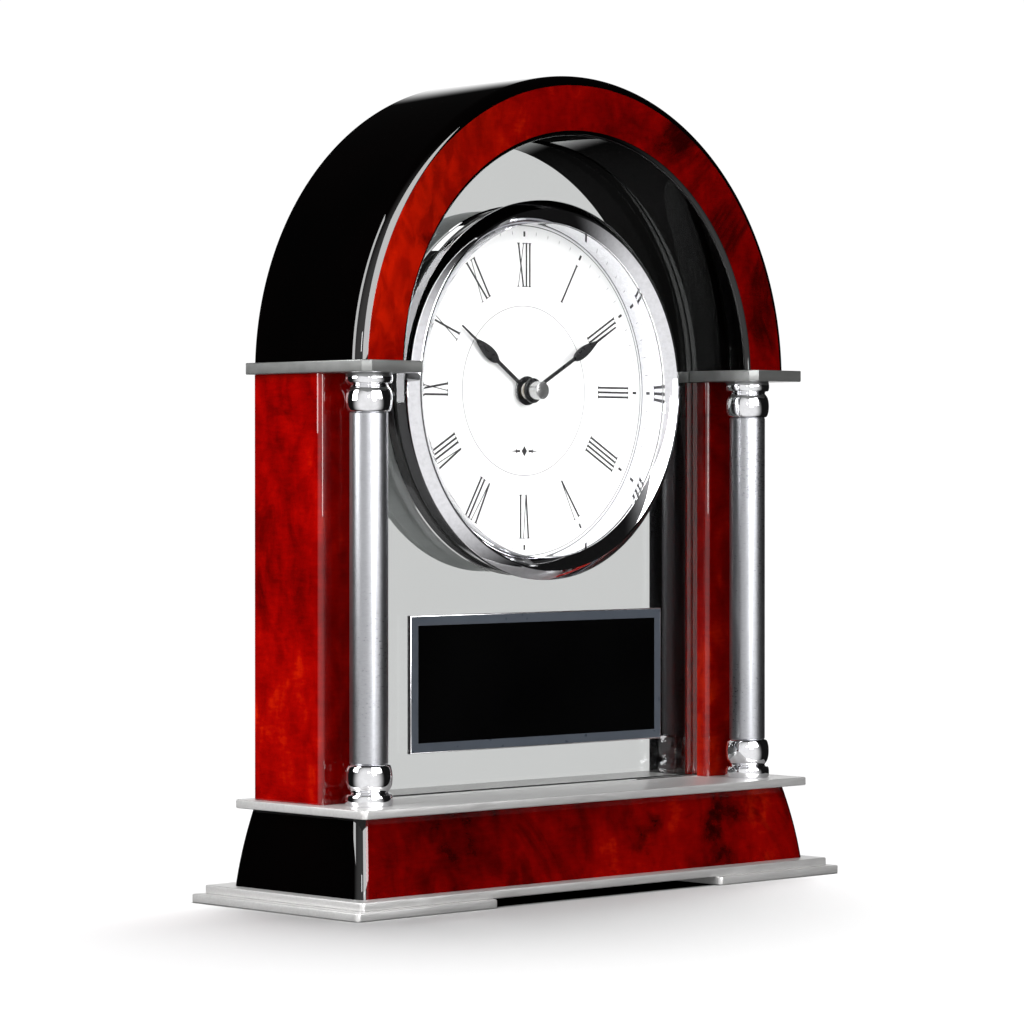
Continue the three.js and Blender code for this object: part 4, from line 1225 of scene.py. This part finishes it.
def world():
    """White to the camera and through glass, an even grey to matt surfaces, and a dark studio with two
    pale patches to mirrors. The patch behind the clock is left out of second reflections."""
    studio = bpy.data.worlds.new("studio")
    bpy.context.scene.world = studio
    studio.use_nodes = True
    tree = studio.node_tree
    tree.nodes.clear()
    out = tree.nodes.new("ShaderNodeOutputWorld")
    path = tree.nodes.new("ShaderNodeLightPath").outputs
    coords = tree.nodes.new("ShaderNodeTexCoord")

    def background(level):
        node = tree.nodes.new("ShaderNodeBackground")
        node.inputs["Color"].default_value = (1, 1, 1, 1)
        feed(tree, node.inputs["Strength"], level)
        return node.outputs[0]

    def choose(factor, a, b):
        node = tree.nodes.new("ShaderNodeMixShader")
        for socket, source in zip(node.inputs, (factor, a, b)):
            feed(tree, socket, source)
        return node.outputs[0]

    def patch(direction, fade, level):
        """A round patch of the studio, pale in the middle and dark beyond its soft edge."""
        towards = tree.nodes.new("ShaderNodeVectorMath")
        towards.operation = "DOT_PRODUCT"
        tree.links.new(coords.outputs["Generated"], towards.inputs[0])
        towards.inputs[1].default_value = Vector(direction).normalized()
        inner, outer = (math.cos(math.radians(angle)) for angle in fade)
        return map_range(tree, towards.outputs["Value"], outer, inner, DARK_STUDIO, level, "SMOOTHSTEP")

    first_mirror = maths(tree, "LESS_THAN", path["Glossy Depth"], 1.5)
    backdrop = maths(tree, "MULTIPLY", patch(BACKDROP_DIRECTION, BACKDROP_FADE, BACKDROP), first_mirror)
    pale = maths(tree, "MAXIMUM", backdrop, patch(CAMERA_SIDE_DIRECTION, CAMERA_SIDE_FADE, CAMERA_SIDE))
    mirrored = maths(tree, "GREATER_THAN", path["Glossy Depth"], 0.5)
    scattered = maths(tree, "GREATER_THAN", path["Diffuse Depth"], 0.5)
    reflected = choose(mirrored, background(AMBIENT), background(pale))
    indirect = maths(tree, "MAXIMUM", mirrored, scattered)
    tree.links.new(choose(indirect, background(WHITE), reflected), out.inputs["Surface"])


CAMERA_PLACE = (-0.79525, -0.82671, 0.11839)
CAMERA_PITCH = 89.49
CAMERA_YAW = -43.68
CAMERA_LENS = 140.0


def camera():
    data = bpy.data.cameras.new("camera")
    data.lens = CAMERA_LENS
    data.sensor_width = 36
    data.clip_start, data.clip_end = 0.05, 50
    obj = bpy.data.objects.new("camera", data)
    bpy.context.scene.collection.objects.link(obj)
    obj.location = CAMERA_PLACE
    obj.rotation_euler = (math.radians(CAMERA_PITCH), 0, math.radians(CAMERA_YAW))
    bpy.context.scene.camera = obj


studio_floor = floor()
all_but_floor = group("all_but_floor", [studio_floor], "EXCLUDE")
floor_only = group("floor_only", [studio_floor], "INCLUDE")
world()
# Sky lights: strength, softness in degrees and direction. Softboxes: azimuth in degrees, distance,
# width and height, power, and the height of their middle.
sky_light("top_light", 1.1, 50, (-0.42, -0.5, -1), all_but_floor)
sky_light("floor_light", 3.7, 46, (-0.42, -0.34, -1), floor_only)
softbox("left_softbox", 184, 0.52, (0.44, 0.6), 7.4, 0.435, glossy=False)
softbox("left_highlight", 162, 0.51, (0.2, 0.6), 4.0, 0.435, diffuse=False)
softbox("front_softbox", 283, 0.8, (0.3, 0.6), 2.9, 0.45, glossy=False)
softbox("front_highlight", 265, 0.79, (0.74, 0.66), 18.0, 0.52, diffuse=False)
softbox("edge_highlight", 252, 0.79, (0.2, 0.09), 0.75, 0.145, diffuse=False)
softbox("camera_highlight", 226, 1.0, (0.09, 0.09), 0.6, 0.3, diffuse=False)
camera()
bpy.context.scene.view_settings.view_transform = "Standard"
